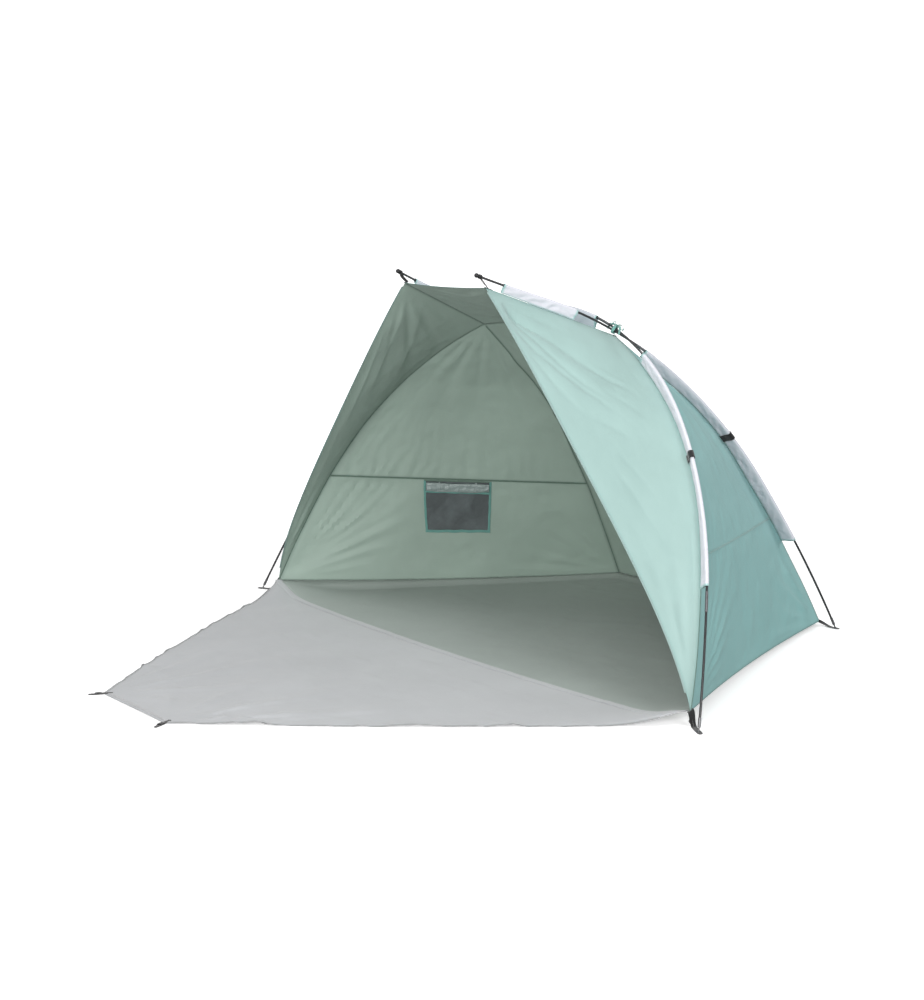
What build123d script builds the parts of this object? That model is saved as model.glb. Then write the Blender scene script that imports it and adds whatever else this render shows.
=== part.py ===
from build123d import *
import math
import os

# Beach shelter: two long poles run from the rear ground corners, up over the
# ridge corners, to the two awning tips.  One arch pole crosses them from the
# left front foot to the right front foot.  A fabric shell hangs from the poles
# on sleeves, with a sewn-in groundsheet and a zip-up front door that lies on
# the ground as an apron.
# X is to the right seen from the front, Y to the rear, Z up.  The origin is on
# the ground, in the middle of the line between the two front floor corners.

# ---- driving dimensions, millimetres -----------------------------------------
FRONT = (1187.0, 0.0, 42.0)      # front floor corner, where the wall starts
REAR = (554.0, 1292.0, 14.0)     # rear floor corner
RIDGE = (363.0, 416.0, 1112.0)   # ridge corner of the fabric
TIP = (230.0, -43.0, 1283.0)     # awning corner of the fabric
RIDGE_MID = (0.0, 424.0, 1134.0) # middle of the ridge seam
AWNING_MID = (0.0, -33.0, 1276.0)
FOOT_F = (1256.0, -32.0)         # arch pole foot on the ground
FOOT_R = (627.0, 1297.0)         # long pole foot on the ground
POLE_R = 3.95                    # fibreglass pole radius
POLE_BORE_R = 1.9                # hollow for the shock cord
CORD_R = 1.3                     # shock cord radius
FERRULE_IN_R = 4.15
FERRULE_OUT_R = 4.75
FERRULE_L = 64.0
ARCH_SLOPE = 0.391               # rearward lean of the arch pole, y over z
ARCH_Y0 = -35.0
ARCH_TOP = 1287.3                # apex of the arch, measured in its leaning plane
ARCH_SEGS = [(310.0, 1052.0), (620.0, 1157.0), (620.0, 1528.0), (395.7, 5764.0)]
ARCH_CUTS = [0.0, 310.0, 930.0, 1550.0, 1934.0]
LONG_START = (225.0, -75.0, 1323.3)
LONG_DIR = (402.0, 1372.0)
LONG_PITCH = -20.27
LONG_SEGS = [(250.0, -4953.0), (500.0, 1462.0), (600.0, 1834.0), (665.1, 4885.0)]
LONG_CUTS = [3.0, 672.0, 1343.0, 2004.0]
CLOTH = 1.5                      # thickness of every fabric solid
SEAM_GAP = 2.4                   # each panel stops this far from its seam line
SLEEVE_R = 6.5                   # inside radius of a pole sleeve
SLEEVE_T = 0.8
DOOR_LEN = 1262.0                # front door, seam to free edge
DOOR_TIP_X = 205.0
DOOR_BULGE = 38.0
DOOR_AXIS_Y = -12.0
EXTENT_Y = 1308.87               # front strap ends and rear strap ends
WALL_SEAM_FRONT = 0.3275         # height of the cross seam on the arch seam, 0..1
WALL_SEAM_REAR = 0.331           # and on the rear seam

os.makedirs("parts", exist_ok=True)


# ---- vectors and curves --------------------------------------------------------
def add(a, b):
    return (a[0] + b[0], a[1] + b[1], a[2] + b[2])


def sub(a, b):
    return (a[0] - b[0], a[1] - b[1], a[2] - b[2])


def mul(a, k):
    return (a[0] * k, a[1] * k, a[2] * k)


def dot(a, b):
    return a[0] * b[0] + a[1] * b[1] + a[2] * b[2]


def cross(a, b):
    return (a[1] * b[2] - a[2] * b[1], a[2] * b[0] - a[0] * b[2], a[0] * b[1] - a[1] * b[0])


def size(a):
    return math.sqrt(dot(a, a))


def unit(a):
    return mul(a, 1.0 / size(a))


def lerp(a, b, t):
    return add(mul(a, 1.0 - t), mul(b, t))


class Curve:
    """Smooth curve through points, evaluated by its share of length."""

    def __init__(self, pts):
        ext = [sub(mul(pts[0], 2), pts[1])] + list(pts) + [sub(mul(pts[-1], 2), pts[-2])]
        self.p = []
        for i in range(1, len(ext) - 2):
            a, b, c, d = ext[i - 1], ext[i], ext[i + 1], ext[i + 2]
            for k in range(16):
                t = k / 16.0
                self.p.append(tuple(
                    0.5 * (2 * b[j] + (c[j] - a[j]) * t + (2 * a[j] - 5 * b[j] + 4 * c[j] - d[j]) * t * t
                           + (3 * b[j] - a[j] - 3 * c[j] + d[j]) * t * t * t) for j in range(3)))
        self.p.append(tuple(pts[-1]))
        self.s = [0.0]
        for i in range(1, len(self.p)):
            self.s.append(self.s[-1] + size(sub(self.p[i], self.p[i - 1])))

    def __call__(self, t):
        t = min(max(t, 0.0), 1.0) * self.s[-1]
        for i in range(1, len(self.s)):
            if t <= self.s[i] or i == len(self.s) - 1:
                k = (t - self.s[i - 1]) / (self.s[i] - self.s[i - 1])
                return lerp(self.p[i - 1], self.p[i], k)


class Arcs:
    """A flat chain of tangent arcs: start, forward and up directions, pitch."""

    def __init__(self, start, fwd, up, pitch, segs):
        self.start, self.fwd, self.up = start, unit(fwd), unit(up)
        self.pitch, self.segs = math.radians(pitch), segs

    def at(self, s):
        u, v, a = 0.0, 0.0, self.pitch
        for length, r in self.segs:
            d = min(s, length)
            b = a - d / r
            u += r * (math.sin(a) - math.sin(b))
            v += r * (math.cos(b) - math.cos(a))
            a = b
            s -= d
            if s <= 1e-9:
                break
        p = add(self.start, add(mul(self.fwd, u), mul(self.up, v)))
        t = add(mul(self.fwd, math.cos(a)), mul(self.up, math.sin(a)))
        return p, t

    def edges(self, s0, s1):
        cuts, c = [s0], 0.0
        for length, r in self.segs:
            c += length
            if s0 + 1e-6 < c < s1 - 1e-6:
                cuts.append(c)
        cuts.append(s1)
        return [ThreePointArc(self.at(a)[0], self.at((a + b) / 2)[0], self.at(b)[0])
                for a, b in zip(cuts, cuts[1:])]

    def tube(self, s0, s1, r_out, r_in=0.0):
        path = Wire(self.edges(s0, s1))
        p, t = self.at(s0)
        pl = Plane(origin=p, z_dir=t)
        outer = Solid.sweep(Face(Wire.make_circle(r_out, pl)), path)
        if not r_in:
            return outer
        return outer - Solid.sweep(Face(Wire.make_circle(r_in, pl)), path)

    def nearest(self, q, lo, hi):
        best = None
        for k in range(241):
            s = lo + (hi - lo) * k / 240.0
            d = size(sub(self.at(s)[0], q))
            if best is None or d < best[0]:
                best = (d, s)
        return best[1]


cos_a = 1.0 / math.hypot(1.0, ARCH_SLOPE)
arch_up = (0.0, ARCH_SLOPE * cos_a, cos_a)
arch = Arcs((0.0, ARCH_Y0 + ARCH_SLOPE * ARCH_TOP * cos_a, ARCH_TOP * cos_a), (1, 0, 0), arch_up, 0.0, ARCH_SEGS)
long_fwd = unit((LONG_DIR[0], LONG_DIR[1], 0.0))
longp = Arcs(LONG_START, long_fwd, (0, 0, 1), LONG_PITCH, LONG_SEGS)

# seam lines of the right half
arch_seam = Curve([FRONT, (1150, 58, 195), (1092, 125, 372), (1046, 168, 485), (984, 216, 604), (918, 255, 702),
                   (848, 287, 782), (755, 323, 872), (636, 357, 962), (529, 383, 1029), (449, 399, 1071), RIDGE])
rear_seam = Curve([REAR, (540, 1225, 142), (522, 1148, 278), (506, 1074, 405), (483, 966, 565), (458, 852, 726),
                   (430, 722, 862), (404, 604, 956), (392, 552, 1003), RIDGE])
side_seam = Curve([TIP, lerp(TIP, RIDGE, 0.5), RIDGE])


def mirrored(f):
    return lambda t: (lambda p: (-p[0], p[1], p[2]))(f(t))


def symmetric(half_a, mid, half_b):
    return Curve([half_a, lerp(half_a, mid, 0.5), mid, lerp(mid, half_b, 0.5), half_b])


ridge = Curve([(-RIDGE[0], RIDGE[1], RIDGE[2]), (-190, 421, 1129), RIDGE_MID, (190, 421, 1129), RIDGE])
awning = Curve([(-TIP[0], TIP[1], TIP[2]), (-115, -35.5, 1277.5), AWNING_MID, (115, -35.5, 1277.5), TIP])


def wing_edge(t):
    # free front edge of the wing, tip to floor corner, hollow outward
    w = 2 * t - 1
    x = TIP[0] * (1 - t) + FRONT[0] * t + 4 * t * (1 - t) * (70.3 + 39.1 * w + 45.3 * w * w)
    return (x, TIP[1] * (1 - t), TIP[2] * (1 - t) + FRONT[2] * t)


def ground_edge(t):
    # bottom of the side wall, front corner to rear corner, pulled in between them
    p = lerp(FRONT, REAR, t)
    k = 4 * t * (1 - t)
    return (p[0] - 30 * k, p[1] - 14 * k, p[2] - 4 * k)


# ---- faceted sheet and strip solids ------------------------------------------------
def tri(a, b, c):
    return Face(Wire.make_polygon([Vector(*a), Vector(*b), Vector(*c)], close=True))


def sheet_solid(top, bot, keep=None):
    """Closed solid between two matching point grids; cells can be left out."""
    n, m = len(top), len(top[0])
    ok = lambda i, j: 0 <= i < n - 1 and 0 <= j < m - 1 and (keep is None or keep(i, j))
    faces = []

    def quad(a, b, c, d):
        for t in ((a, b, c), (a, c, d)):
            if size(cross(sub(t[1], t[0]), sub(t[2], t[0]))) > 1e-6:
                faces.append(tri(*t))

    for i in range(n - 1):
        for j in range(m - 1):
            if not ok(i, j):
                continue
            quad(top[i][j], top[i + 1][j], top[i + 1][j + 1], top[i][j + 1])
            quad(bot[i][j], bot[i][j + 1], bot[i + 1][j + 1], bot[i + 1][j])
            for (di, dj, p, q) in ((-1, 0, (i, j), (i, j + 1)), (1, 0, (i + 1, j), (i + 1, j + 1)),
                                   (0, -1, (i, j), (i + 1, j)), (0, 1, (i, j + 1), (i + 1, j + 1))):
                if not ok(i + di, j + dj):
                    quad(top[p[0]][p[1]], top[q[0]][q[1]], bot[q[0]][q[1]], bot[p[0]][p[1]])
    solid = Solid(Shell(faces))
    return solid


def normals(g):
    n, m = len(g), len(g[0])
    out = []
    for i in range(n):
        row = []
        for j in range(m):
            du = sub(g[min(i + 1, n - 1)][j], g[max(i - 1, 0)][j])
            dv = sub(g[i][min(j + 1, m - 1)], g[i][max(j - 1, 0)])
            row.append(unit(cross(du, dv)))
        out.append(row)
    return out


def offset_grid(g, nrm, d):
    return [[add(p, mul(q, d)) for p, q in zip(r, s)] for r, s in zip(g, nrm)]


def panel(g, gaps=(1, 1, 1, 1), thick=CLOTH, shift=0.0, keep=None):
    """Cloth panel on a point grid, drawn back from its four seam lines."""
    g = [list(r) for r in g]
    n, m = len(g), len(g[0])
    if gaps[0]:
        g[0] = [add(a, mul(unit(sub(b, a)), SEAM_GAP * gaps[0])) for a, b in zip(g[0], g[1])]
    if gaps[1]:
        g[-1] = [add(a, mul(unit(sub(b, a)), SEAM_GAP * gaps[1])) for a, b in zip(g[-1], g[-2])]
    for r in g:
        if gaps[2]:
            r[0] = add(r[0], mul(unit(sub(r[1], r[0])), SEAM_GAP * gaps[2]))
        if gaps[3]:
            r[-1] = add(r[-1], mul(unit(sub(r[-2], r[-1])), SEAM_GAP * gaps[3]))
    nrm = normals(g)
    return sheet_solid(offset_grid(g, nrm, shift + thick / 2), offset_grid(g, nrm, shift - thick / 2), keep)


def coons(c0, c1, d0, d1, us, vs):
    """c0, c1 run with u at v=0 and v=1; d0, d1 run with v at u=0 and u=1."""
    g = []
    for u in us:
        row = []
        for v in vs:
            a = lerp(c0(u), c1(u), v)
            b = lerp(d0(v), d1(v), u)
            c = lerp(lerp(c0(0), c0(1), u), lerp(c1(0), c1(1), u), v)
            row.append(sub(add(a, b), c))
        g.append(row)
    return g


def steps(a, b, n):
    return [a + (b - a) * i / n for i in range(n + 1)]


nodes = {}


def put(name, shape):
    solids = []
    for s in (shape if isinstance(shape, list) else [shape]):
        solids += s.solids()
    out = solids[0] if len(solids) == 1 else Compound(children=solids)
    nodes[name] = solids
    export_step(out, "parts/" + name + ".step")


def flip(shape):
    if isinstance(shape, list):
        return [flip(s) for s in shape]
    return mirror(shape, about=Plane.YZ)


def pair(name, shape):
    put(name + "_right", shape)
    put(name + "_left", flip(shape))


# ---- poles, ferrules and shock cords --------------------------------------------------
crown = arch.tube(0.0, ARCH_CUTS[1] - 0.5, POLE_R, POLE_BORE_R)
put("arch_pole_crown", crown + flip(crown))
for label, a, b in (("upper", 1, 2), ("middle", 2, 3), ("foot", 3, 4)):
    pair("arch_pole_" + label, arch.tube(ARCH_CUTS[a] + 0.5, ARCH_CUTS[b] - (0.5 if b < 4 else 0), POLE_R, POLE_BORE_R))
for label, a in (("tip", 0), ("middle", 1), ("foot", 2)):
    pair("long_pole_" + label, longp.tube(LONG_CUTS[a] + 0.5, LONG_CUTS[a + 1] - (0.5 if a < 2 else 0), POLE_R, POLE_BORE_R))
half = FERRULE_L / 2
right = [arch.tube(s - half, s + half, FERRULE_OUT_R, FERRULE_IN_R) for s in ARCH_CUTS[1:4]]
put("arch_pole_ferrules", right + flip(right))
right = [longp.tube(s - half, s + half, FERRULE_OUT_R, FERRULE_IN_R) for s in LONG_CUTS[1:3]]
put("long_pole_ferrules", right + flip(right))
cord = arch.tube(0.0, ARCH_CUTS[4] - 20, CORD_R)
put("arch_shock_cord", cord + flip(cord))
pair("long_shock_cord", longp.tube(20.0, LONG_CUTS[3] - 20, CORD_R))

# steel foot: a thimble round the pole end with a pin that drops into the eyelet
PIN_R = 2.2
EYE_R = 3.8
feet, eyelets = [], []
foot_at = []
for chain, s_end in ((arch, ARCH_CUTS[4]), (longp, LONG_CUTS[3])):
    p, t = chain.at(s_end)
    body = Plane(origin=sub(p, mul(t, 24)), z_dir=t)
    thimble = body * Pos(0, 0, 14) * Cylinder(FERRULE_OUT_R + 0.1, 28)
    thimble -= body * Pos(0, 0, 12.1) * Cylinder(FERRULE_IN_R, 24.2)
    reach = (p[2] + t[2] * 4 - 1.6) / -t[2]
    pin = Plane(origin=add(p, mul(t, 3.9)), z_dir=t) * Pos(0, 0, reach / 2) * Cylinder(PIN_R, reach)
    feet.append((thimble + pin).solids()[0])
    k = (p[2] - 2.0) / -t[2]
    foot_at.append(add(p, mul(t, k)))
for q in foot_at:
    eye = Pos(q[0], q[1], 2.0) * (Cylinder(7.5, 3.0) - Cylinder(8.5, 2.0) + Cylinder(4.8, 2.0) - Cylinder(EYE_R, 4))
    eyelets.append(eye.solids()[0])
put("pole_feet", feet + flip(feet))
put("corner_eyelets", eyelets + flip(eyelets))

# ---- webbing corner tabs --------------------------------------------------------------
def corner_tab(corner, eye, wide, rise, tail):
    d = unit((eye[0] - corner[0], eye[1] - corner[1], 0.0))
    L = math.hypot(eye[0] - corner[0], eye[1] - corner[1])
    flat = Plane(origin=(corner[0], corner[1], 1.0), x_dir=d, z_dir=(0, 0, 1))
    upright = Plane(origin=(corner[0], corner[1], 0.0), x_dir=d, z_dir=cross(d, (0, 0, 1)))
    tongue = flat * Pos((L + tail + 14) / 2, 0, 1.0) * Box(L + tail - 14, wide, 2.0)
    tongue -= flat * Pos(L, 0, 1.0) * Cylinder(4.9, 6)
    gusset = extrude(upright * make_face(Polyline((4, 1), (4, rise - 6), (12, rise - 6), (L * 0.62, 3.0), (L * 0.62, 1), close=True)), 1.0, both=True)
    return (tongue + gusset).solids()[0]


front_tail = 22.0
pair("front_corner_tab", corner_tab(FRONT, foot_at[0], 17.0, FRONT[2], front_tail))


pair("rear_corner_tab", corner_tab(REAR, foot_at[1], 17.0, REAR[2] + 3, 15.9))

# ---- awning tip: ball cap on the pole end and its strap to the fabric -------------------
p, t = longp.at(3.0)
cap_pl = Plane(origin=p, z_dir=t)
cap = cap_pl * (Pos(0, 0, -5) * Sphere(8.0) + Pos(0, 0, 6) * Cylinder(5.9, 18) - Pos(0, 0, 9.6) * Cylinder(4.1, 20))
put("tip_ball_caps", [cap.solids()[0], flip(cap.solids()[0])])
neck = add(p, mul(t, 8))
ring = Plane(origin=neck, z_dir=t) * (Cylinder(7.9, 9) - Cylinder(6.2, 10))
down = sub(add(TIP, (0.0, 0.0, 3.0)), neck)
side = unit(cross(down, t))
stl = size(down) - 4.0 - 7.0
strap = Plane(origin=add(neck, mul(unit(down), 7.0 + stl / 2)), x_dir=side, z_dir=unit(down)) * Box(14, 2.0, stl)
pair("tip_strap", (ring + strap).solids()[0])

# ---- fabric shell ----------------------------------------------------------------------
END = 0.982


def wall_point(u, v):
    # u up the seams from the ground, v from the arch seam to the rear seam
    a, b = arch_seam(u), rear_seam(u)
    p = lerp(a, b, v)
    c = lerp(FRONT, REAR, v)
    g = ground_edge(v)
    k = (1 - u) ** 3
    out = 16.0 * math.sin(math.pi * v) * math.sin(math.pi * min(u * 1.15, 1.0))
    d = unit((b[1] - a[1], a[0] - b[0], 0.0))
    return add(add(p, mul(sub(g, c), k)), mul(d, out))


def cross_seam(v):
    return WALL_SEAM_FRONT * (1 - v) + WALL_SEAM_REAR * v


VS = [0.0, 0.13, 0.26, 0.389, 0.50, 0.609, 0.74, 0.87, 1.0]
US = [0.0, 0.24, 0.452, 0.490, 0.72, 0.955, 1.0]


def lean(u, v):
    # the window's upright edges lean a little, so the panel's upright lines do too
    h = v / 0.381 if v < 0.381 else (1.0 - 1.28 * (v - 0.381) / 0.235 if v < 0.616 else -0.28 * (1.0 - v) / 0.384)
    return v + 0.078 * (0.73 - u) * h


def low_point(u, v):
    w = lean(u, v)
    return wall_point(u * cross_seam(w), w)


def low_grid(us, vs):
    return [[low_point(u, v) for v in vs] for u in us]


def high_grid(us, vs):
    return [[wall_point(cross_seam(v) + (END - cross_seam(v)) * u, v) for v in vs] for u in us]


put("side_wall_lower_right", panel(low_grid(US, VS), (0.4, 0.4, 1, 1)))
put("side_wall_lower_left", flip(panel(low_grid(US, VS), (0.4, 0.4, 1, 1), keep=lambda i, j: not (3 <= i <= 4 and 3 <= j <= 4))))
pair("side_wall_upper", panel(high_grid(steps(0, 1, 6), steps(0, 1, 6)), (0.4, 1, 1, 1)))


def wing_point(u, v):
    # u from the awning side seam down to the floor corner, v from front edge to arch seam
    a, b = wing_edge(u), arch_seam(1 - u)
    top = side_seam(v)
    lin = lerp(TIP, RIDGE, v)
    return add(lerp(a, b, v), mul(sub(top, lin), 1 - u))


pair("wing", panel([[wing_point(u, v) for v in steps(0, 1, 5)] for u in [0, 0.08, 0.2, 0.33, 0.46, 0.6, 0.74, 0.88, 0.975]],
                   (1, 0.5, 0, 1)))
ml = mirrored
roof = coons(ml(side_seam), side_seam, awning, ridge, steps(0, 1, 5), steps(0, 1, 8))
put("awning_roof", panel(roof, (0, 1, 1, 1)))
back = coons(ml(rear_seam), rear_seam, lambda v: lerp((-REAR[0], REAR[1], REAR[2]), REAR, v), ridge, steps(0, 1, 9), steps(0, 1, 6))
put("back_wall", panel(back, (0.4, 1, 1, 1)))

# groundsheet: flat floor with an upstand that meets the walls
FX, RX = FRONT[0] - 6, REAR[0] - 5
RY = REAR[1] - 3
floor = extrude(make_face(Polyline((-FX, 1), (-600, -8), (0, -9), (600, -8), (FX, 1), (RX, RY), (-RX, RY), close=True)), CLOTH)
sl = math.hypot(FX - RX, RY - 1)
sd = unit((RX - FX, RY - 1, 0))
side_pl = Plane(origin=(FX, 1, 0), x_dir=sd, z_dir=cross(sd, (0, 0, 1)))
side_up = extrude(side_pl * make_face(Polyline((0, 0), (sl, 0), (sl, 9), (sl * 0.5, 19), (0, 36), close=True)), -CLOTH)
rear_up = Pos(0, RY - CLOTH / 2, 4.5) * Box(2 * RX, CLOTH, 9)
put("groundsheet", (floor + side_up + flip(side_up) + rear_up).solids()[0])


# front door lying on the ground
def door_x(s):
    return FRONT[0] + (DOOR_TIP_X - FRONT[0]) * s + DOOR_BULGE * 4 * s * (1 - s)


rows = [0.0, 0.03, 0.1, 0.2, 0.32, 0.45, 0.6, 0.75, 0.9, 1.0]
outline_r, outline_l = [], []
for s in rows:
    y = -DOOR_LEN * s if s > 0 else DOOR_AXIS_Y - 2
    x = door_x(s) if s > 0.02 else 1138.0
    if s > 0.02:
        x -= 6.0
    outline_r.append((x, y))
outline = outline_r + [(-x, y) for x, y in reversed(outline_r)]
door = extrude(make_face(Polyline(*outline, close=True)), CLOTH)
put("front_door", door.solids()[0])

# zip tapes: one half on the door edge, the other on the wing edge
def tape(pts, wide, side, lift, thick=1.2):
    n = len(pts)
    out = []
    for i in range(n):
        d = unit(sub(pts[min(i + 1, n - 1)], pts[max(i - 1, 0)]))
        s = unit(sub(side(i), mul(d, dot(side(i), d))))
        nrm = unit(cross(d, s))
        c = add(pts[i], mul(nrm, lift))
        out.append([add(c, mul(s, -wide / 2)), add(c, mul(s, wide / 2)), nrm])
    top = [[add(r[0], mul(r[2], thick / 2)), add(r[1], mul(r[2], thick / 2))] for r in out]
    bot = [[add(r[0], mul(r[2], -thick / 2)), add(r[1], mul(r[2], -thick / 2))] for r in out]
    return sheet_solid(top, bot)


zip_pts = [(x + 4.8, y, 1.0) for x, y in outline_r[2:]]
pair("door_zip_tape", tape(zip_pts, 5.0, lambda i: (1, 0.7, 0), 0.0))
wing_zip = [wing_edge(u) for u in steps(0.03, 0.955, 12)]
pair("wing_zip_tape", tape([add(q, (-1.3, -4.2, 0.0)) for q in wing_zip], 6.0, lambda i: (-0.3, -1.0, 0.0), 0.0))

# peg straps on the free corners of the door
def door_strap():
    a = (DOOR_TIP_X + 2, -DOOR_LEN - 1.5)
    b = (DOOR_TIP_X + 24, -EXTENT_Y)
    d = unit((b[0] - a[0], b[1] - a[1], 0))
    n = (-d[1], d[0], 0)
    w = 7.0
    e = (b[0], b[1])
    k = w * abs(n[1])
    L = (abs(b[1] - a[1]) - k) / abs(d[1])
    base = Plane(origin=(a[0], a[1], 0.0), x_dir=d, z_dir=(0, 0, 1))
    s = base * Pos(L / 2, 0, 1.25) * Box(L, 2 * w, 2.5)
    s += base * Pos(L * 0.45, 0, 2.5) * Box(14, 2 * w, 5.0)
    s -= base * Pos(L - 11, 0, 1.5) * Cylinder(3.6, 8)
    return s.solids()[0]


pair("door_peg_strap", door_strap())


# ---- pole sleeves ----------------------------------------------------------------------
def sleeve(chain, seam, t0, t1, s_lo, s_hi, n, r=SLEEVE_R, th=SLEEVE_T, root=4.2, gap=0.25):
    """Strip of cloth folded over the pole, both edges coming down to the seam."""
    outer, inner = [], []
    for t in steps(t0, t1, n):
        q = seam(t)
        s = chain.nearest(q, s_lo, s_hi)
        c, d = chain.at(s)
        down = sub(q, c)
        down = sub(down, mul(d, dot(down, d)))
        L = size(down)
        down = unit(down)
        acr = cross(d, down)
        po, pi_ = [], []
        for rad, out in ((r + th, po), (r, pi_)):
            foot = gap + (th if rad > r else 0.0)
            out.append(add(c, add(mul(down, L - root), mul(acr, -foot))))
            out.append(add(c, add(mul(down, (L - root) * 0.55 + rad * 0.45), mul(acr, -(foot + (rad - foot) * 0.45)))))
            for k in range(7):
                a = math.pi * k / 6
                out.append(add(c, add(mul(down, -rad * math.sin(a)), mul(acr, -rad * math.cos(a)))))
            out.append(add(c, add(mul(down, (L - root) * 0.55 + rad * 0.45), mul(acr, foot + (rad - foot) * 0.45))))
            out.append(add(c, add(mul(down, L - root), mul(acr, foot))))
        outer.append(po)
        inner.append(pi_)
    return sheet_solid(outer, inner)


total_l = LONG_CUTS[3]
pair("awning_sleeve", sleeve(longp, side_seam, 0.115, 0.675, 40, 520, 8))
pair("arch_sleeve", sleeve(arch, arch_seam, 0.258, 0.872, 350, 1700, 12))
pair("rear_sleeve", sleeve(longp, rear_seam, 0.258, 0.912, 540, 1800, 12))
ridge_half = lambda t: ridge(0.5 + t / 2)
crown = sleeve(arch, ridge_half, 0.0, 0.70, 0, 420, 6)
put("ridge_sleeve", crown + flip(crown))
# webbing bands round the sleeves
bands = [sleeve(arch, arch_seam, 0.552, 0.570, 350, 1700, 1, SLEEVE_R + SLEEVE_T + 1.4, 1.2, 5.0, 2.3)]
put("arch_sleeve_bands", bands + flip(bands))
bands = [sleeve(longp, rear_seam, 0.583, 0.599, 540, 1800, 1, SLEEVE_R + SLEEVE_T + 1.4, 1.2, 5.0, 2.3)]
put("rear_sleeve_bands", bands + flip(bands))

# ribbon ties that hold the two poles together over the ridge corner
sx = longp.nearest(arch.at(arch.nearest(add(RIDGE, (0, 0, 26)), 300, 500))[0], 350, 650)
cx_l = longp.at(sx)[0]
sa = arch.nearest(cx_l, 300, 500)
mid = lerp(cx_l, arch.at(sa)[0], 0.5)
bis = unit(add(longp.at(sx)[1], arch.at(sa)[1]))
tie = Plane(origin=mid, z_dir=bis) * (Cylinder(16.5, 7) - Cylinder(15.3, 8))
tail = sub(add(RIDGE, (0.0, 0.0, 5.0)), mid)
tail_d = sub(tail, mul(bis, dot(tail, bis)))
tl = size(tail_d)
ta = max(tl - 15.9, 3.0)
tie += Plane(origin=add(mid, mul(unit(tail_d), 15.9 + ta / 2)), x_dir=bis, z_dir=unit(tail_d)) * Box(7, 1.2, ta)
pair("ridge_tie", tie.solids()[0])
print("pole crossing gap", round(size(sub(cx_l, arch.at(sa)[0])), 2), "at", [round(k) for k in mid])

# ---- window in the left wall -------------------------------------------------------------
frame_us = [0.458, 0.490, 0.72, 0.950, 0.975]
frame_vs = [0.3795, 0.389, 0.50, 0.609, 0.6185]
put("window_binding", flip(panel(low_grid(frame_us, frame_vs), (0, 0, 0, 0), 1.0, 1.6,
                                 keep=lambda i, j: not (1 <= i <= 2 and 1 <= j <= 2))))
put("window_mesh", flip(panel(low_grid([0.4925, 0.72, 0.952], [0.3912, 0.50, 0.6068]), (0, 0, 0, 0), 0.6, 0.0)))
FLAP_HALF, FLAP_DEPTH = 21.0, 6.0       # half height and half thickness of the folded flap
rl, rr = low_point(0.922, 0.393), low_point(0.922, 0.605)
inn = mul(normals(low_grid([0.8, 0.9], [0.45, 0.55]))[0][0], 10.5)
roll_a, roll_b = add(rl, inn), add(rr, inn)
roll_d = unit(sub(roll_b, roll_a))
roll_l = size(sub(roll_b, roll_a))
flap_plane = lambda k: Plane(origin=lerp(roll_a, roll_b, k), x_dir=unit(inn), z_dir=roll_d)
roll = extrude(flap_plane(0.5) * Ellipse(FLAP_DEPTH, FLAP_HALF), roll_l / 2, both=True)
put("window_flap_roll", flip(roll.solids()[0]))
ties = []
for k in (0.22, 0.78):
    ring = flap_plane(k) * Ellipse(FLAP_DEPTH + 1.4, FLAP_HALF + 1.4) - flap_plane(k) * Ellipse(FLAP_DEPTH + 0.3, FLAP_HALF + 0.3)
    ties.append(extrude(ring, 4.5, both=True).solids()[0])
put("window_flap_ties", flip(ties))

lo = [min(tuple(s.bounding_box().min)[i] for v in nodes.values() for s in v) for i in range(3)]
hi = [max(tuple(s.bounding_box().max)[i] for v in nodes.values() for s in v) for i in range(3)]
print("nodes", len(nodes), "box", [round(v, 2) for v in lo], [round(v, 2) for v in hi])
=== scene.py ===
import bpy
import bmesh
import math
import numpy as np
from mathutils import Vector, Matrix, Quaternion, noise


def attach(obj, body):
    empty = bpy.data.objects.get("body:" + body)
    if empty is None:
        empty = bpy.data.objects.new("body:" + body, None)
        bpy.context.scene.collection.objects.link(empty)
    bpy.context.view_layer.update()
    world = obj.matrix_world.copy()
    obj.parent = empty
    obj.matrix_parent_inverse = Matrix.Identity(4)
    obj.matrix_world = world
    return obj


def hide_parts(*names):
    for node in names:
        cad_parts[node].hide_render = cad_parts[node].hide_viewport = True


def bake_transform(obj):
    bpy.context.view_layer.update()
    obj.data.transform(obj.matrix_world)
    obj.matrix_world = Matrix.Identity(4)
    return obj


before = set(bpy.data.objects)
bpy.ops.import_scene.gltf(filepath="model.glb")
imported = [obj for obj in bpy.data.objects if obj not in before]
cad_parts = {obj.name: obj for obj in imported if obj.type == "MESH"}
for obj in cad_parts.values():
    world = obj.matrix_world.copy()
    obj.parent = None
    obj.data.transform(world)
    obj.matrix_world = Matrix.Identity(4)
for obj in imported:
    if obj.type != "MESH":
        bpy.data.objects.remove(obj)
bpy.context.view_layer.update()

MM = 0.001

# --------------------------------------------------------------------------- camera
scene = bpy.context.scene
cam_data = bpy.data.cameras.new("camera")
cam = bpy.data.objects.new("camera", cam_data)
scene.collection.objects.link(cam)
YAW, PITCH = math.radians(52.704), math.radians(9.597)
cam.location = (4.9297, -3.7211, 1.5772)
fwd = Vector((-math.sin(YAW) * math.cos(PITCH), math.cos(YAW) * math.cos(PITCH), -math.sin(PITCH)))
cam.rotation_mode = "QUATERNION"
cam.rotation_quaternion = fwd.to_track_quat("-Z", "Y")
cam_data.sensor_width = 36.0
cam_data.lens = 1787.4 * 36.0 / 1000.0
cam_data.clip_end = 200.0
scene.camera = cam
scene.view_settings.view_transform = "Standard"
scene.view_settings.look = "None"


# --------------------------------------------------------------------------- curves (millimetres)
def V(*a):
    return np.array(a, float)


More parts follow.
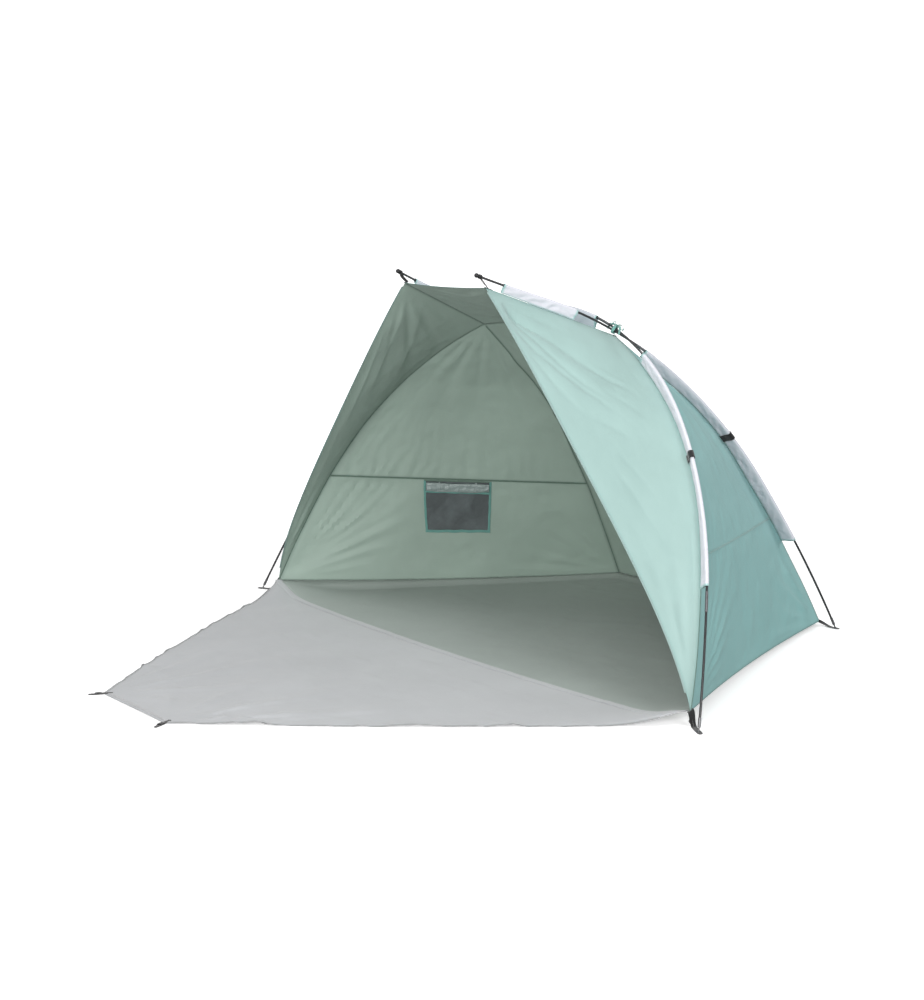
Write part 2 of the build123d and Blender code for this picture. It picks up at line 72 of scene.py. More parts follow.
FRONT, REAR = V(1187, 0, 42), V(554, 1292, 14)
RIDGE, TIP = V(363, 416, 1112), V(230, -43, 1283)
WALL_SEAM_FRONT, WALL_SEAM_REAR = 0.3275, 0.331
DOOR_LEN, DOOR_TIP_X, DOOR_BULGE = 1262.0, 205.0, 38.0
MIR = V(-1, 1, 1)


class Curve:
    def __init__(self, pts):
        pts = [np.array(p, float) for p in pts]
        ext = [2 * pts[0] - pts[1]] + pts + [2 * pts[-1] - pts[-2]]
        out = []
        for i in range(1, len(ext) - 2):
            a, b, c, d = ext[i - 1:i + 3]
            for k in range(16):
                t = k / 16.0
                out.append(0.5 * (2 * b + (c - a) * t + (2 * a - 5 * b + 4 * c - d) * t * t + (3 * b - a - 3 * c + d) * t ** 3))
        out.append(pts[-1])
        self.p = np.array(out)
        self.s = np.concatenate([[0], np.cumsum(np.linalg.norm(np.diff(self.p, axis=0), axis=1))])
        self.len = self.s[-1]

    def __call__(self, t):
        s = np.clip(np.asarray(t, float), 0, 1) * self.s[-1]
        return np.stack([np.interp(s, self.s, self.p[:, k]) for k in range(3)], -1)


def smooth(curve, n=40):
    """Rounds the polyline steps of a Curve by refitting it through fewer points."""
    return Curve([curve(k / n) for k in range(n + 1)])


arch_seam = Curve([FRONT, (1150, 58, 195), (1092, 125, 372), (1046, 168, 485), (984, 216, 604), (918, 255, 702),
                   (848, 287, 782), (755, 323, 872), (636, 357, 962), (529, 383, 1029), (449, 399, 1071), RIDGE])
rear_seam = Curve([REAR, (540, 1225, 142), (522, 1148, 278), (506, 1074, 405), (483, 966, 565), (458, 852, 726),
                   (430, 722, 862), (404, 604, 956), (392, 552, 1003), RIDGE])
side_seam = Curve([TIP, (TIP + RIDGE) / 2, RIDGE])
ridge = Curve([RIDGE * MIR, (-190, 421, 1129), (0, 424, 1134), (190, 421, 1129), RIDGE])
awning = Curve([TIP * MIR, (-115, -35.5, 1277.5), (0, -33, 1276), (115, -35.5, 1277.5), TIP])


def lerp(a, b, t):
    t = np.asarray(t, float)
    if t.ndim:
        t = t[..., None]
    return a * (1 - t) + b * t


def wing_edge(t):
    t = np.asarray(t, float)
    w = 2 * t - 1
    x = TIP[0] * (1 - t) + FRONT[0] * t + 4 * t * (1 - t) * (70.3 + 39.1 * w + 45.3 * w * w)
    return np.stack([x, TIP[1] * (1 - t), TIP[2] * (1 - t) + FRONT[2] * t], -1)


def ground_edge(t):
    k = 4 * t * (1 - t)
    return lerp(FRONT, REAR, t) - np.stack([30 * k, 14 * k, 4 * k], -1)


class Arcs:
    def __init__(self, start, fwd_, up, pitch, segs):
        self.start, self.fwd, self.up = V(*start), V(*fwd_) / np.linalg.norm(fwd_), V(*up) / np.linalg.norm(up)
        self.pitch, self.segs = math.radians(pitch), segs
        self.len = sum(s[0] for s in segs)

    def at(self, s):
        u, v, a = 0.0, 0.0, self.pitch
        for length, r in self.segs:
            d = min(s, length)
            b = a - d / r
            u += r * (math.sin(a) - math.sin(b))
            v += r * (math.cos(b) - math.cos(a))
            a = b
            s -= d
            if s <= 1e-9:
                break
        return (self.start + self.fwd * u + self.up * v, self.fwd * math.cos(a) + self.up * math.sin(a))

    def nearest(self, q, lo, hi, n=300):
        ss = np.linspace(lo, hi, n)
        P = np.array([self.at(s)[0] for s in ss])
        return ss[np.argmin(((P - q) ** 2).sum(1))]


cos_a = 1.0 / math.hypot(1.0, 0.391)
arch = Arcs((0.0, -35.0 + 0.391 * 1287.3 * cos_a, 1287.3 * cos_a), (1, 0, 0), (0.0, 0.391 * cos_a, cos_a), 0.0,
            [(310.0, 1052.0), (620.0, 1157.0), (620.0, 1528.0), (395.7, 5764.0)])
longp = Arcs((225.0, -75.0, 1323.3), (402.0, 1372.0, 0.0), (0, 0, 1), -20.27,
             [(250.0, -4953.0), (500.0, 1462.0), (600.0, 1834.0), (665.1, 4885.0)])


# --------------------------------------------------------------------------- noise and fold helpers
def nz(P, scale, seed=0.0, octaves=3, stretch=(1, 1, 1)):
    """Fractal noise in about -1..1 at points P (millimetres), feature size scale."""
    sh = P.shape[:-1]
    Q = P.reshape(-1, 3) * np.array(stretch) / scale + seed
    out = np.array([noise.fractal(Vector(q), 0.6, 2.1, octaves, noise_basis="PERLIN_ORIGINAL") for q in Q])
    return out.reshape(sh)


def sstep(a, b, x):
    t = np.clip((x - a) / (b - a), 0, 1)
    return t * t * (3 - 2 * t)


def normals(P):
    du = np.gradient(P, axis=0)
    dv = np.gradient(P, axis=1)
    n = np.cross(du, dv)
    l = np.linalg.norm(n, axis=-1, keepdims=True)
    return n / np.maximum(l, 1e-9)


def fan(P, apex, d0, d1, ridges):
    """Folds that radiate from apex between the directions d0 and d1: height at P."""
    d0 = (d0 - apex) / np.linalg.norm(d0 - apex)
    e1 = d1 - apex
    e1 = e1 - d0 * (e1 @ d0)
    span = math.atan2(np.linalg.norm(e1), (d1 - apex) @ d0)
    e1 = e1 / np.linalg.norm(e1)
    R = P - apex
    x, y = R @ d0, R @ e1
    r = np.hypot(x, y)
    a = np.arctan2(y, x) / span
    h = np.zeros(P.shape[:-1])
    for at, wid, amp, r0, r1 in ridges:
        env = sstep(30, 190, r) * (1 - sstep(r0, r1, r))
        w = np.maximum(14.0, wid * span * r * (0.55 + 0.45 * np.clip(r / 500.0, 0, 1.5)))
        d = (a - at) * span * r / w
        h += amp * env * (np.exp(-d * d) - 0.45 * np.exp(-((d - 1.6) / 1.1) ** 2))
    return h


def crease(P, line, depth, w0, w1, up=1.0, fade=(0.12, 0.6)):
    """A crease that runs along the points of line: a sharp valley, or with a negative depth a ridge.
    w0 and w1 are its half widths at the two ends, and up widens the side above it."""
    L = Curve(line)
    ts = np.linspace(0, 1, 90)
    Q = L(ts)
    T = np.gradient(Q, axis=0)
    T /= np.linalg.norm(T, axis=1, keepdims=True)
    flat = P.reshape(-1, 3)
    best = np.full(len(flat), 1e9)
    idx = np.zeros(len(flat), int)
    for k in range(len(ts)):
        d2 = ((flat - Q[k]) ** 2).sum(1)
        m = d2 < best
        best[m] = d2[m]
        idx[m] = k
    R = flat - Q[idx]
    along = (R * T[idx]).sum(1)
    side = R - T[idx] * along[:, None]
    dist = np.linalg.norm(side, axis=1)
    over = np.maximum(np.linalg.norm(R, axis=1) - dist, 0)
    t = ts[idx]
    w = w0 + (w1 - w0) * t
    w = np.where(side[:, 2] > 0, w * up, w)
    env = sstep(0, fade[0], t) * (1 - sstep(fade[1], 1.0, t)) * np.exp(-(over / 14.0) ** 2)
    e = 2.5
    h = -depth * env * np.exp(-(np.sqrt(dist ** 2 + e * e) - e) / w)
    return h.reshape(P.shape[:-1])


# --------------------------------------------------------------------------- materials
def srgb(r, g, b):
    f = lambda c: c / 12.92 if c <= 0.04045 else ((c + 0.055) / 1.055) ** 2.4
    return (f(r / 255.0), f(g / 255.0), f(b / 255.0), 1.0)


class Nodes:
    def __init__(self, name):
        self.mat = bpy.data.materials.new(name)
        self.mat.use_nodes = True
        self.t = self.mat.node_tree
        self.t.nodes.clear()
        self.out = self.add("ShaderNodeOutputMaterial")
        self.bsdf = self.add("ShaderNodeBsdfPrincipled")
        self.link(self.bsdf.outputs[0], self.out.inputs[0])

    def add(self, kind, **kw):
        n = self.t.nodes.new(kind)
        for k, v in kw.items():
            if k in n.inputs:
                n.inputs[k].default_value = v
            else:
                setattr(n, k, v)
        return n

    def link(self, a, b):
        self.t.links.new(a, b)

    def math(self, op, a, b=None, c=None):
        n = self.add("ShaderNodeMath", operation=op)
        for i, v in enumerate((a, b, c)):
            if v is None:
                continue
            if isinstance(v, (int, float)):
                n.inputs[i].default_value = v
            else:
                self.link(v, n.inputs[i])
        return n.outputs[0]

    def mix(self, fac, a, b, kind="MIX"):
        n = self.add("ShaderNodeMix", data_type="RGBA", blend_type=kind)
        for i, v in ((0, fac), (6, a), (7, b)):
            if isinstance(v, (int, float, tuple)):
                n.inputs[i].default_value = v
            else:
                self.link(v, n.inputs[i])
        return n.outputs[2]

    def ramp(self, fac, stops):
        n = self.add("ShaderNodeValToRGB")
        el = n.color_ramp.elements
        el[0].position, el[0].color = stops[0][0], (stops[0][1],) * 3 + (1,)
        el[1].position, el[1].color = stops[-1][0], (stops[-1][1],) * 3 + (1,)
        for p, c in stops[1:-1]:
            e = el.new(p)
            e.color = (c,) * 3 + (1,)
        self.link(fac, n.inputs[0])
        return n.outputs[0]


def shade(c, k):
    return tuple(min(1.0, v * k) for v in c[:3]) + (1.0,)


def cloth_material(name, col, dark, pitch=0.0007, rough=0.62, sheen=0.25, crinkle=0.25, seam_dark=0.25, spec=0.35,
                   crinkle_scale=22.0, vary=0.05, use_uv=True):
    """Plain-weave coated cloth: weave, crinkles, faint streaks, and darker stitched edges."""
    n = Nodes(name)
    tc = n.add("ShaderNodeTexCoord")
    uv = tc.outputs["UV"] if use_uv else tc.outputs["Object"]
    obj = tc.outputs["Object"]
    warp = n.add("ShaderNodeTexWave", wave_type="BANDS", bands_direction="X", Scale=0.314 / pitch, Distortion=0.6, Detail=1.0)
    weft = n.add("ShaderNodeTexWave", wave_type="BANDS", bands_direction="Y", Scale=0.314 / pitch, Distortion=0.6, Detail=1.0)
    n.link(uv, warp.inputs["Vector"])
    n.link(uv, weft.inputs["Vector"])
    weave = n.math("MULTIPLY", warp.outputs["Fac"], weft.outputs["Fac"])
    big = n.add("ShaderNodeTexNoise", Scale=2.6, Detail=3.0, Roughness=0.55)
    n.link(obj, big.inputs["Vector"])
    fine = n.add("ShaderNodeTexNoise", Scale=260.0, Detail=2.0, Roughness=0.7)
    n.link(uv, fine.inputs["Vector"])
    slub = n.add("ShaderNodeTexNoise", Scale=90.0, Detail=2.0)
    mp = n.add("ShaderNodeMapping")
    mp.inputs["Scale"].default_value = (1.0, 9.0, 1.0)
    n.link(uv, mp.inputs["Vector"])
    n.link(mp.outputs[0], slub.inputs["Vector"])
    c = n.mix(n.ramp(big.outputs["Fac"], [(0.3, 0.0), (0.7, 1.0)]), shade(col, 1 - vary), shade(col, 1 + vary))
    c = n.mix(n.math("MULTIPLY", weave, 0.10), c, shade(dark, 1.0))
    c = n.mix(n.math("MULTIPLY", n.ramp(slub.outputs["Fac"], [(0.45, 0.0), (0.8, 1.0)]), 0.10), c, shade(col, 1.12))
    if seam_dark:
        at = n.add("ShaderNodeAttribute", attribute_name="seam")
        c = n.mix(n.math("MULTIPLY", at.outputs["Fac"], seam_dark), c, dark)
    n.link(c, n.bsdf.inputs["Base Color"])
    cr = n.add("ShaderNodeTexNoise", Scale=crinkle_scale, Detail=5.0, Roughness=0.55, Distortion=0.9)
    n.link(obj, cr.inputs["Vector"])
    crease = n.math("ABSOLUTE", n.math("SUBTRACT", cr.outputs["Fac"], 0.5))
    b1 = n.add("ShaderNodeBump", Strength=crinkle, Distance=0.006)
    n.link(crease, b1.inputs["Height"])
    b2 = n.add("ShaderNodeBump", Strength=0.25, Distance=0.00025)
    n.link(weave, b2.inputs["Height"])
    n.link(b1.outputs[0], b2.inputs["Normal"])
    n.link(b2.outputs[0], n.bsdf.inputs["Normal"])
    r = n.math("ADD", n.math("MULTIPLY", fine.outputs["Fac"], 0.16), rough - 0.08)
    n.link(r, n.bsdf.inputs["Roughness"])
    n.bsdf.inputs["Specular IOR Level"].default_value = spec
    n.bsdf.inputs["Sheen Weight"].default_value = sheen
    n.bsdf.inputs["Sheen Roughness"].default_value = 0.45
    return n.mat


def webbing_material(name, col, pitch=0.0018):
    n = Nodes(name)
    tc = n.add("ShaderNodeTexCoord")
    w1 = n.add("ShaderNodeTexWave", wave_type="BANDS", bands_direction="DIAGONAL", Scale=0.22 / pitch, Distortion=1.2, Detail=2.0)
    w2 = n.add("ShaderNodeTexWave", wave_type="BANDS", bands_direction="X", Scale=0.314 / pitch, Distortion=0.4)
    n.link(tc.outputs["UV"], w1.inputs["Vector"])
    n.link(tc.outputs["UV"], w2.inputs["Vector"])
    h = n.math("MULTIPLY", w1.outputs["Fac"], w2.outputs["Fac"])
    ns = n.add("ShaderNodeTexNoise", Scale=400.0, Detail=3.0)
    n.link(tc.outputs["Object"], ns.inputs["Vector"])
    c = n.mix(h, shade(col, 0.6), shade(col, 1.9))
    c = n.mix(n.math("MULTIPLY", ns.outputs["Fac"], 0.35), c, shade(col, 2.6))
    n.link(c, n.bsdf.inputs["Base Color"])
    b = n.add("ShaderNodeBump", Strength=0.6, Distance=0.0006)
    n.link(h, b.inputs["Height"])
    n.link(b.outputs[0], n.bsdf.inputs["Normal"])
    n.link(n.math("ADD", n.math("MULTIPLY", ns.outputs["Fac"], 0.2), 0.62), n.bsdf.inputs["Roughness"])
    n.bsdf.inputs["Sheen Weight"].default_value = 0.3
    n.bsdf.inputs["Specular IOR Level"].default_value = 0.3
    return n.mat


def hard_material(name, col, rough, metal=0.0, grain=300.0, bump=0.15, spec=0.5, coat=0.0, wear=0.25, streak=None):
    n = Nodes(name)
    tc = n.add("ShaderNodeTexCoord")
    ns = n.add("ShaderNodeTexNoise", Scale=grain, Detail=4.0, Roughness=0.6)
    vec = tc.outputs["Object"]
    if streak:
        mp = n.add("ShaderNodeMapping")
        mp.inputs["Scale"].default_value = streak
        n.link(vec, mp.inputs["Vector"])
        vec = mp.outputs[0]
    n.link(vec, ns.inputs["Vector"])
    big = n.add("ShaderNodeTexNoise", Scale=18.0, Detail=3.0)
    n.link(tc.outputs["Object"], big.inputs["Vector"])
    c = n.mix(n.ramp(ns.outputs["Fac"], [(0.35, 0.0), (0.75, 1.0)]), shade(col, 0.8), shade(col, 1 + wear))
    c = n.mix(n.math("MULTIPLY", big.outputs["Fac"], 0.3), c, shade(col, 0.7))
    n.link(c, n.bsdf.inputs["Base Color"])
    n.bsdf.inputs["Metallic"].default_value = metal
    n.link(n.math("ADD", n.math("MULTIPLY", ns.outputs["Fac"], 0.18), rough - 0.09), n.bsdf.inputs["Roughness"])
    n.bsdf.inputs["Specular IOR Level"].default_value = spec
    n.bsdf.inputs["Coat Weight"].default_value = coat
    b = n.add("ShaderNodeBump", Strength=bump, Distance=0.0002)
    n.link(ns.outputs["Fac"], b.inputs["Height"])
    n.link(b.outputs[0], n.bsdf.inputs["Normal"])
    return n.mat


def mesh_material(name, col):
    """Fine knitted insect mesh, drawn as a close grid of dark threads."""
    n = Nodes(name)
    tc = n.add("ShaderNodeTexCoord")
    a = n.add("ShaderNodeTexWave", wave_type="BANDS", bands_direction="X", Scale=0.314 / 0.0022)
    b = n.add("ShaderNodeTexWave", wave_type="BANDS", bands_direction="Y", Scale=0.314 / 0.0022)
    n.link(tc.outputs["UV"], a.inputs["Vector"])
    n.link(tc.outputs["UV"], b.inputs["Vector"])
    h = n.math("MAXIMUM", a.outputs["Fac"], b.outputs["Fac"])
    big = n.add("ShaderNodeTexNoise", Scale=9.0, Detail=3.0, Distortion=0.8)
    n.link(tc.outputs["Object"], big.inputs["Vector"])
    c = n.mix(n.ramp(h, [(0.4, 0.0), (0.9, 1.0)]), shade(col, 1.25), shade(col, 0.8))
    c = n.mix(n.ramp(big.outputs["Fac"], [(0.42, 0.0), (0.72, 0.6)]), c, shade(col, 1.8))
    n.link(c, n.bsdf.inputs["Base Color"])
    bp = n.add("ShaderNodeBump", Strength=0.5, Distance=0.0008)
    n.link(h, bp.inputs["Height"])
    n.link(bp.outputs[0], n.bsdf.inputs["Normal"])
    n.link(n.math("ADD", n.math("MULTIPLY", h, 0.2), 0.45), n.bsdf.inputs["Roughness"])
    n.bsdf.inputs["Sheen Weight"].default_value = 0.15
    return n.mat


def zip_material(name, col):
    n = Nodes(name)
    tc = n.add("ShaderNodeTexCoord")
    w = n.add("ShaderNodeTexWave", wave_type="BANDS", bands_direction="X", Scale=0.314 / 0.0018)
    n.link(tc.outputs["UV"], w.inputs["Vector"])
    ns = n.add("ShaderNodeTexNoise", Scale=500.0, Detail=2.0)
    n.link(tc.outputs["UV"], ns.inputs["Vector"])
    c = n.mix(w.outputs["Fac"], shade(col, 0.65), shade(col, 1.25))
    c = n.mix(n.math("MULTIPLY", ns.outputs["Fac"], 0.2), c, shade(col, 1.5))
    n.link(c, n.bsdf.inputs["Base Color"])
    b = n.add("ShaderNodeBump", Strength=0.7, Distance=0.0008)
    n.link(w.outputs["Fac"], b.inputs["Height"])
    n.link(b.outputs[0], n.bsdf.inputs["Normal"])
    n.link(n.math("ADD", n.math("MULTIPLY", ns.outputs["Fac"], 0.2), 0.4), n.bsdf.inputs["Roughness"])
    return n.mat


OUT_COL = (0.222, 0.440, 0.430, 1)
# Paler, less saturated copy of the outside fabric for the wings: painted light, standing in for the glare on these
# sun-facing panels; the wings are the same cloth as the walls.
WING_PAINTED_LIGHT_COL = (0.305, 0.437, 0.415, 1)
M_OUT = cloth_material("canopy_outside", OUT_COL, (0.15, 0.30, 0.29, 1), rough=0.55, sheen=0.12, crinkle=0.10, seam_dark=0.35)
M_WING_PAINTED_LIGHT = cloth_material("canopy_wing_painted_light", WING_PAINTED_LIGHT_COL, (0.19, 0.36, 0.34, 1), rough=0.5, sheen=0.15, crinkle=0.10, seam_dark=0.35)
M_IN = cloth_material("canopy_inside", (0.345, 0.440, 0.385, 1), (0.10, 0.16, 0.13, 1), rough=0.55, sheen=0.08, crinkle=0.10, seam_dark=0.5)
M_SLEEVE = cloth_material("sleeve_cloth", (0.63, 0.63, 0.685, 1), (0.24, 0.47, 0.44, 1), rough=0.6, sheen=0.2, crinkle=0.30, crinkle_scale=34, seam_dark=0.75)
M_FLOOR = cloth_material("floor_cloth", (0.318, 0.360, 0.338, 1), (0.14, 0.16, 0.15, 1), pitch=0.0016, rough=0.6, sheen=0.1, crinkle=0.30, crinkle_scale=13, seam_dark=-0.25)
M_DOOR = cloth_material("door_cloth", (0.428, 0.440, 0.455, 1), (0.25, 0.26, 0.27, 1), pitch=0.0009, rough=0.58, sheen=0.25, crinkle=0.16, crinkle_scale=12, seam_dark=0.25)
M_WEB = webbing_material("black_webbing", (0.006, 0.006, 0.007, 1))
M_RIB = webbing_material("teal_ribbon", (0.12, 0.28, 0.25, 1), pitch=0.0009)
M_SEAM_IN = webbing_material("seam_tape_inside", (0.105, 0.160, 0.130, 1), pitch=0.0012)
M_SEAM_OUT = webbing_material("seam_tape_outside", (0.15, 0.29, 0.275, 1), pitch=0.0012)
M_HEM = webbing_material("hem_door", (0.33, 0.335, 0.345, 1), pitch=0.0012)
M_POLE = hard_material("fibreglass", (0.018, 0.018, 0.020, 1), 0.32, grain=220.0, bump=0.08, spec=0.6, coat=0.25, streak=(6, 6, 0.6))
M_STEEL = hard_material("plated_steel", (0.20, 0.20, 0.21, 1), 0.42, metal=1.0, grain=180.0, bump=0.1, streak=(1, 1, 12))
M_CAP = hard_material("cap_plastic", (0.014, 0.014, 0.016, 1), 0.5, grain=600.0, bump=0.35)
M_CORD = webbing_material("elastic_cord", (0.55, 0.55, 0.53, 1), pitch=0.0010)
M_MESH = mesh_material("window_mesh", (0.085, 0.10, 0.105, 1))
M_FLAP = cloth_material("flap_cloth", (0.30, 0.36, 0.355, 1), (0.12, 0.16, 0.16, 1), rough=0.32, sheen=0.1, crinkle=0.5, crinkle_scale=60, seam_dark=0.0, spec=0.7)
M_ZIP = zip_material("zip_coil", (0.30, 0.42, 0.40, 1))
M_ZIP_DOOR = zip_material("zip_coil_door", (0.36, 0.37, 0.375, 1))

for name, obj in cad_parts.items():
    if "ferrule" in name or name in ("pole_feet", "corner_eyelets"):
        m = M_STEEL
    elif "shock_cord" in name:
        m = M_CORD
    elif "pole_" in name:
        m = M_POLE
    elif name == "tip_ball_caps":
        m = M_CAP
    elif "tab" in name or "strap" in name or "bands" in name:
        m = M_WEB
    elif "sleeve" in name:
        m = M_SLEEVE
    elif name == "groundsheet":
        m = M_FLOOR
    elif name == "front_door":
        m = M_DOOR
    elif "zip" in name:
        m = M_ZIP
    elif name == "window_mesh":
        m = M_MESH
    elif name == "window_flap_roll":
        m = M_FLAP
    elif "binding" in name or "ties" in name or "tie" in name:
        m = M_RIB
    else:
        m = M_OUT
    if obj.data.materials:
        for i in range(len(obj.data.materials)):
            obj.data.materials[i] = m
    else:
        obj.data.materials.append(m)


# --------------------------------------------------------------------------- mesh building
def new_object(name, verts, faces, mats, uvs=None, face_mats=None, attrs=None, smooth_=True):
    me = bpy.data.meshes.new(name)
    me.from_pydata([tuple(v) for v in verts], [], faces)
    if uvs is not None:
        layer = me.uv_layers.new(name="UVMap")
        flat = np.array([uvs[i] for f in faces for i in f], np.float32).ravel()
        layer.data.foreach_set("uv", flat)
    for k, vals in (attrs or {}).items():
        a = me.attributes.new(k, "FLOAT", "POINT")
        a.data.foreach_set("value", np.asarray(vals, np.float32))
    for m in mats:
        me.materials.append(m)
    if face_mats is not None:
        me.polygons.foreach_set("material_index", face_mats)
    me.polygons.foreach_set("use_smooth", [smooth_] * len(me.polygons))
    me.update()
    o = bpy.data.objects.new(name, me)
    scene.collection.objects.link(o)
    return o


class Builder:
    """Collects point grids and joins them into one mesh along shared edges."""

    def __init__(self):
        self.v, self.f, self.uv, self.seam, self.m = [], [], [], [], []

    def grid(self, P, uv, seam, outward, skip=None, mat=0):
        n, m = P.shape[:2]
        N = normals(P)
        mid = N[n // 2, m // 2]
        rev = (mid @ outward) < 0
        base = len(self.v)
        self.v += list(P.reshape(-1, 3))
        self.uv += list(uv.reshape(-1, 2))
        self.seam += list(seam.reshape(-1))
        for i in range(n - 1):
            for j in range(m - 1):
                if skip is not None and skip(i, j):
                    continue
                a, b, c, d = base + i * m + j, base + (i + 1) * m + j, base + (i + 1) * m + j + 1, base + i * m + j + 1
                self.f.append((a, d, c, b) if rev else (a, b, c, d))
                self.m.append(mat)

    def build(self, name, mats, merge=0.06, sharp=0.42):
        o = new_object(name, np.array(self.v) * MM, self.f, mats, uvs=self.uv, attrs={"seam": self.seam}, face_mats=self.m)
        bm = bmesh.new()
        bm.from_mesh(o.data)
        bmesh.ops.remove_doubles(bm, verts=bm.verts, dist=merge * MM)
        bmesh.ops.dissolve_degenerate(bm, edges=bm.edges, dist=1e-6)
        for e in bm.edges:
            if len(e.link_faces) == 2 and e.calc_face_angle(0.0) > sharp:
                e.smooth = False
        bm.to_mesh(o.data)
        bm.free()
        return o


def solidify(o, t, offset=-1.0, mat=0, rim=0):
    m = o.modifiers.new("thickness", "SOLIDIFY")
    m.thickness, m.offset = t, offset
    m.material_offset, m.material_offset_rim = mat, rim
    m.use_even_offset = False
    m.use_quality_normals = True
    apply_modifiers(o)


def apply_modifiers(o):
    dg = bpy.context.evaluated_depsgraph_get()
    dg.update()
    me = bpy.data.meshes.new_from_object(o.evaluated_get(dg))
    old = o.data
    o.modifiers.clear()
    o.data = me
    me.name = o.name
    bpy.data.meshes.remove(old)


def subdivide(o, levels=1):
    m = o.modifiers.new("sub", "SUBSURF")
    m.levels = m.render_levels = levels
    apply_modifiers(o)


def mirror_obj(o, name):
    me = o.data.copy()
    me.transform(Matrix.Diagonal((-1, 1, 1, 1)))
    me.flip_normals()
    c = bpy.data.objects.new(name, me)
    scene.collection.objects.link(c)
    return c


# --------------------------------------------------------------------------- canopy: one continuous sewn shell
NL, NU, NV, NW, NR = 56, 84, 92, 84, 60
WIN_U0, WIN_U1, WIN_V0, WIN_V1 = 0.490, 0.955, 0.389, 0.609     # opening in the left wall
v_lines = np.array(sorted(set(np.round(np.concatenate([np.linspace(0, 1, NV + 1), [WIN_V0, WIN_V1]]), 5))))
v_lines = np.array([v for v in v_lines if not (0 < abs(v - WIN_V0) < 0.004 or 0 < abs(v - WIN_V1) < 0.004)])
u_low = np.array(sorted(set(np.round(np.concatenate([np.linspace(0, 1, NL + 1), [WIN_U0, WIN_U1]]), 5))))
u_low = np.array([u for u in u_low if not (0 < abs(u - WIN_U0) < 0.006 or 0 < abs(u - WIN_U1) < 0.006)])
u_up = np.linspace(0, 1, NU + 1)


def wall_point(u, v):
    a, b = arch_seam(u), rear_seam(u)
    p = lerp(a, b, v)
    c = lerp(FRONT, REAR, v)
    g = ground_edge(v)
    k = ((1 - u) ** 3)[..., None]
    out = 16.0 * np.sin(np.pi * v) * np.sin(np.pi * np.minimum(u * 1.15, 1.0))
    d = np.stack([b[..., 1] - a[..., 1], a[..., 0] - b[..., 0], np.zeros_like(v)], -1)
    d = d / np.maximum(np.linalg.norm(d, axis=-1, keepdims=True), 1e-6)
    return p + (g - c) * k + d * out[..., None]


def cross_seam(v):
    return WALL_SEAM_FRONT * (1 - v) + WALL_SEAM_REAR * v


def lean(u, v):
    """The window's upright edges lean a little, so the panel's upright lines do too."""
    h = np.interp(v, [0.0, 0.381, 0.616, 1.0], [0.0, 1.0, -0.28, 0.0])
    return v + 0.078 * (0.73 - u) * h


def low_wall(us, vs):
    U, W = np.meshgrid(us, vs, indexing="ij")
    W = lean(U, W)
    return wall_point(U * cross_seam(W), W)


def high_wall(us, vs):
    U, W = np.meshgrid(us, vs, indexing="ij")
    W = W + (lean(1.0, W) - W) * (1 - U)
    return wall_point(cross_seam(W) + (1 - cross_seam(W)) * U, W)


def arc_uv(P):
    """Real-size coordinates along the grid, in metres."""
    du = np.concatenate([[0], np.cumsum(np.linalg.norm(np.diff(P[:, P.shape[1] // 2], axis=0), axis=1))])
    dv = np.concatenate([[0], np.cumsum(np.linalg.norm(np.diff(P[P.shape[0] // 3], axis=0), axis=1))])
    U, W = np.meshgrid(du, dv, indexing="ij")
    return np.stack([W, U], -1) * MM


def edge_mask(P, sides, soft=70.0):
    """0 on the listed sides (0 first row, 1 last row, 2 first column, 3 last column), 1 inside."""
    m = np.ones(P.shape[:2])
    if 0 in sides:
        m *= sstep(0, soft, np.linalg.norm(P - P[:1], axis=-1))
    if 1 in sides:
        m *= sstep(0, soft, np.linalg.norm(P - P[-1:], axis=-1))
    if 2 in sides:
        m *= sstep(0, soft, np.linalg.norm(P - P[:, :1], axis=-1))
    if 3 in sides:
        m *= sstep(0, soft, np.linalg.norm(P - P[:, -1:], axis=-1))
    return m


def seam_mask(P, sides, width=9.0):
    return 1 - edge_mask(P, sides, width)


RIGHT = V(0.79, 0.2, 0.5)
canopy = Builder()


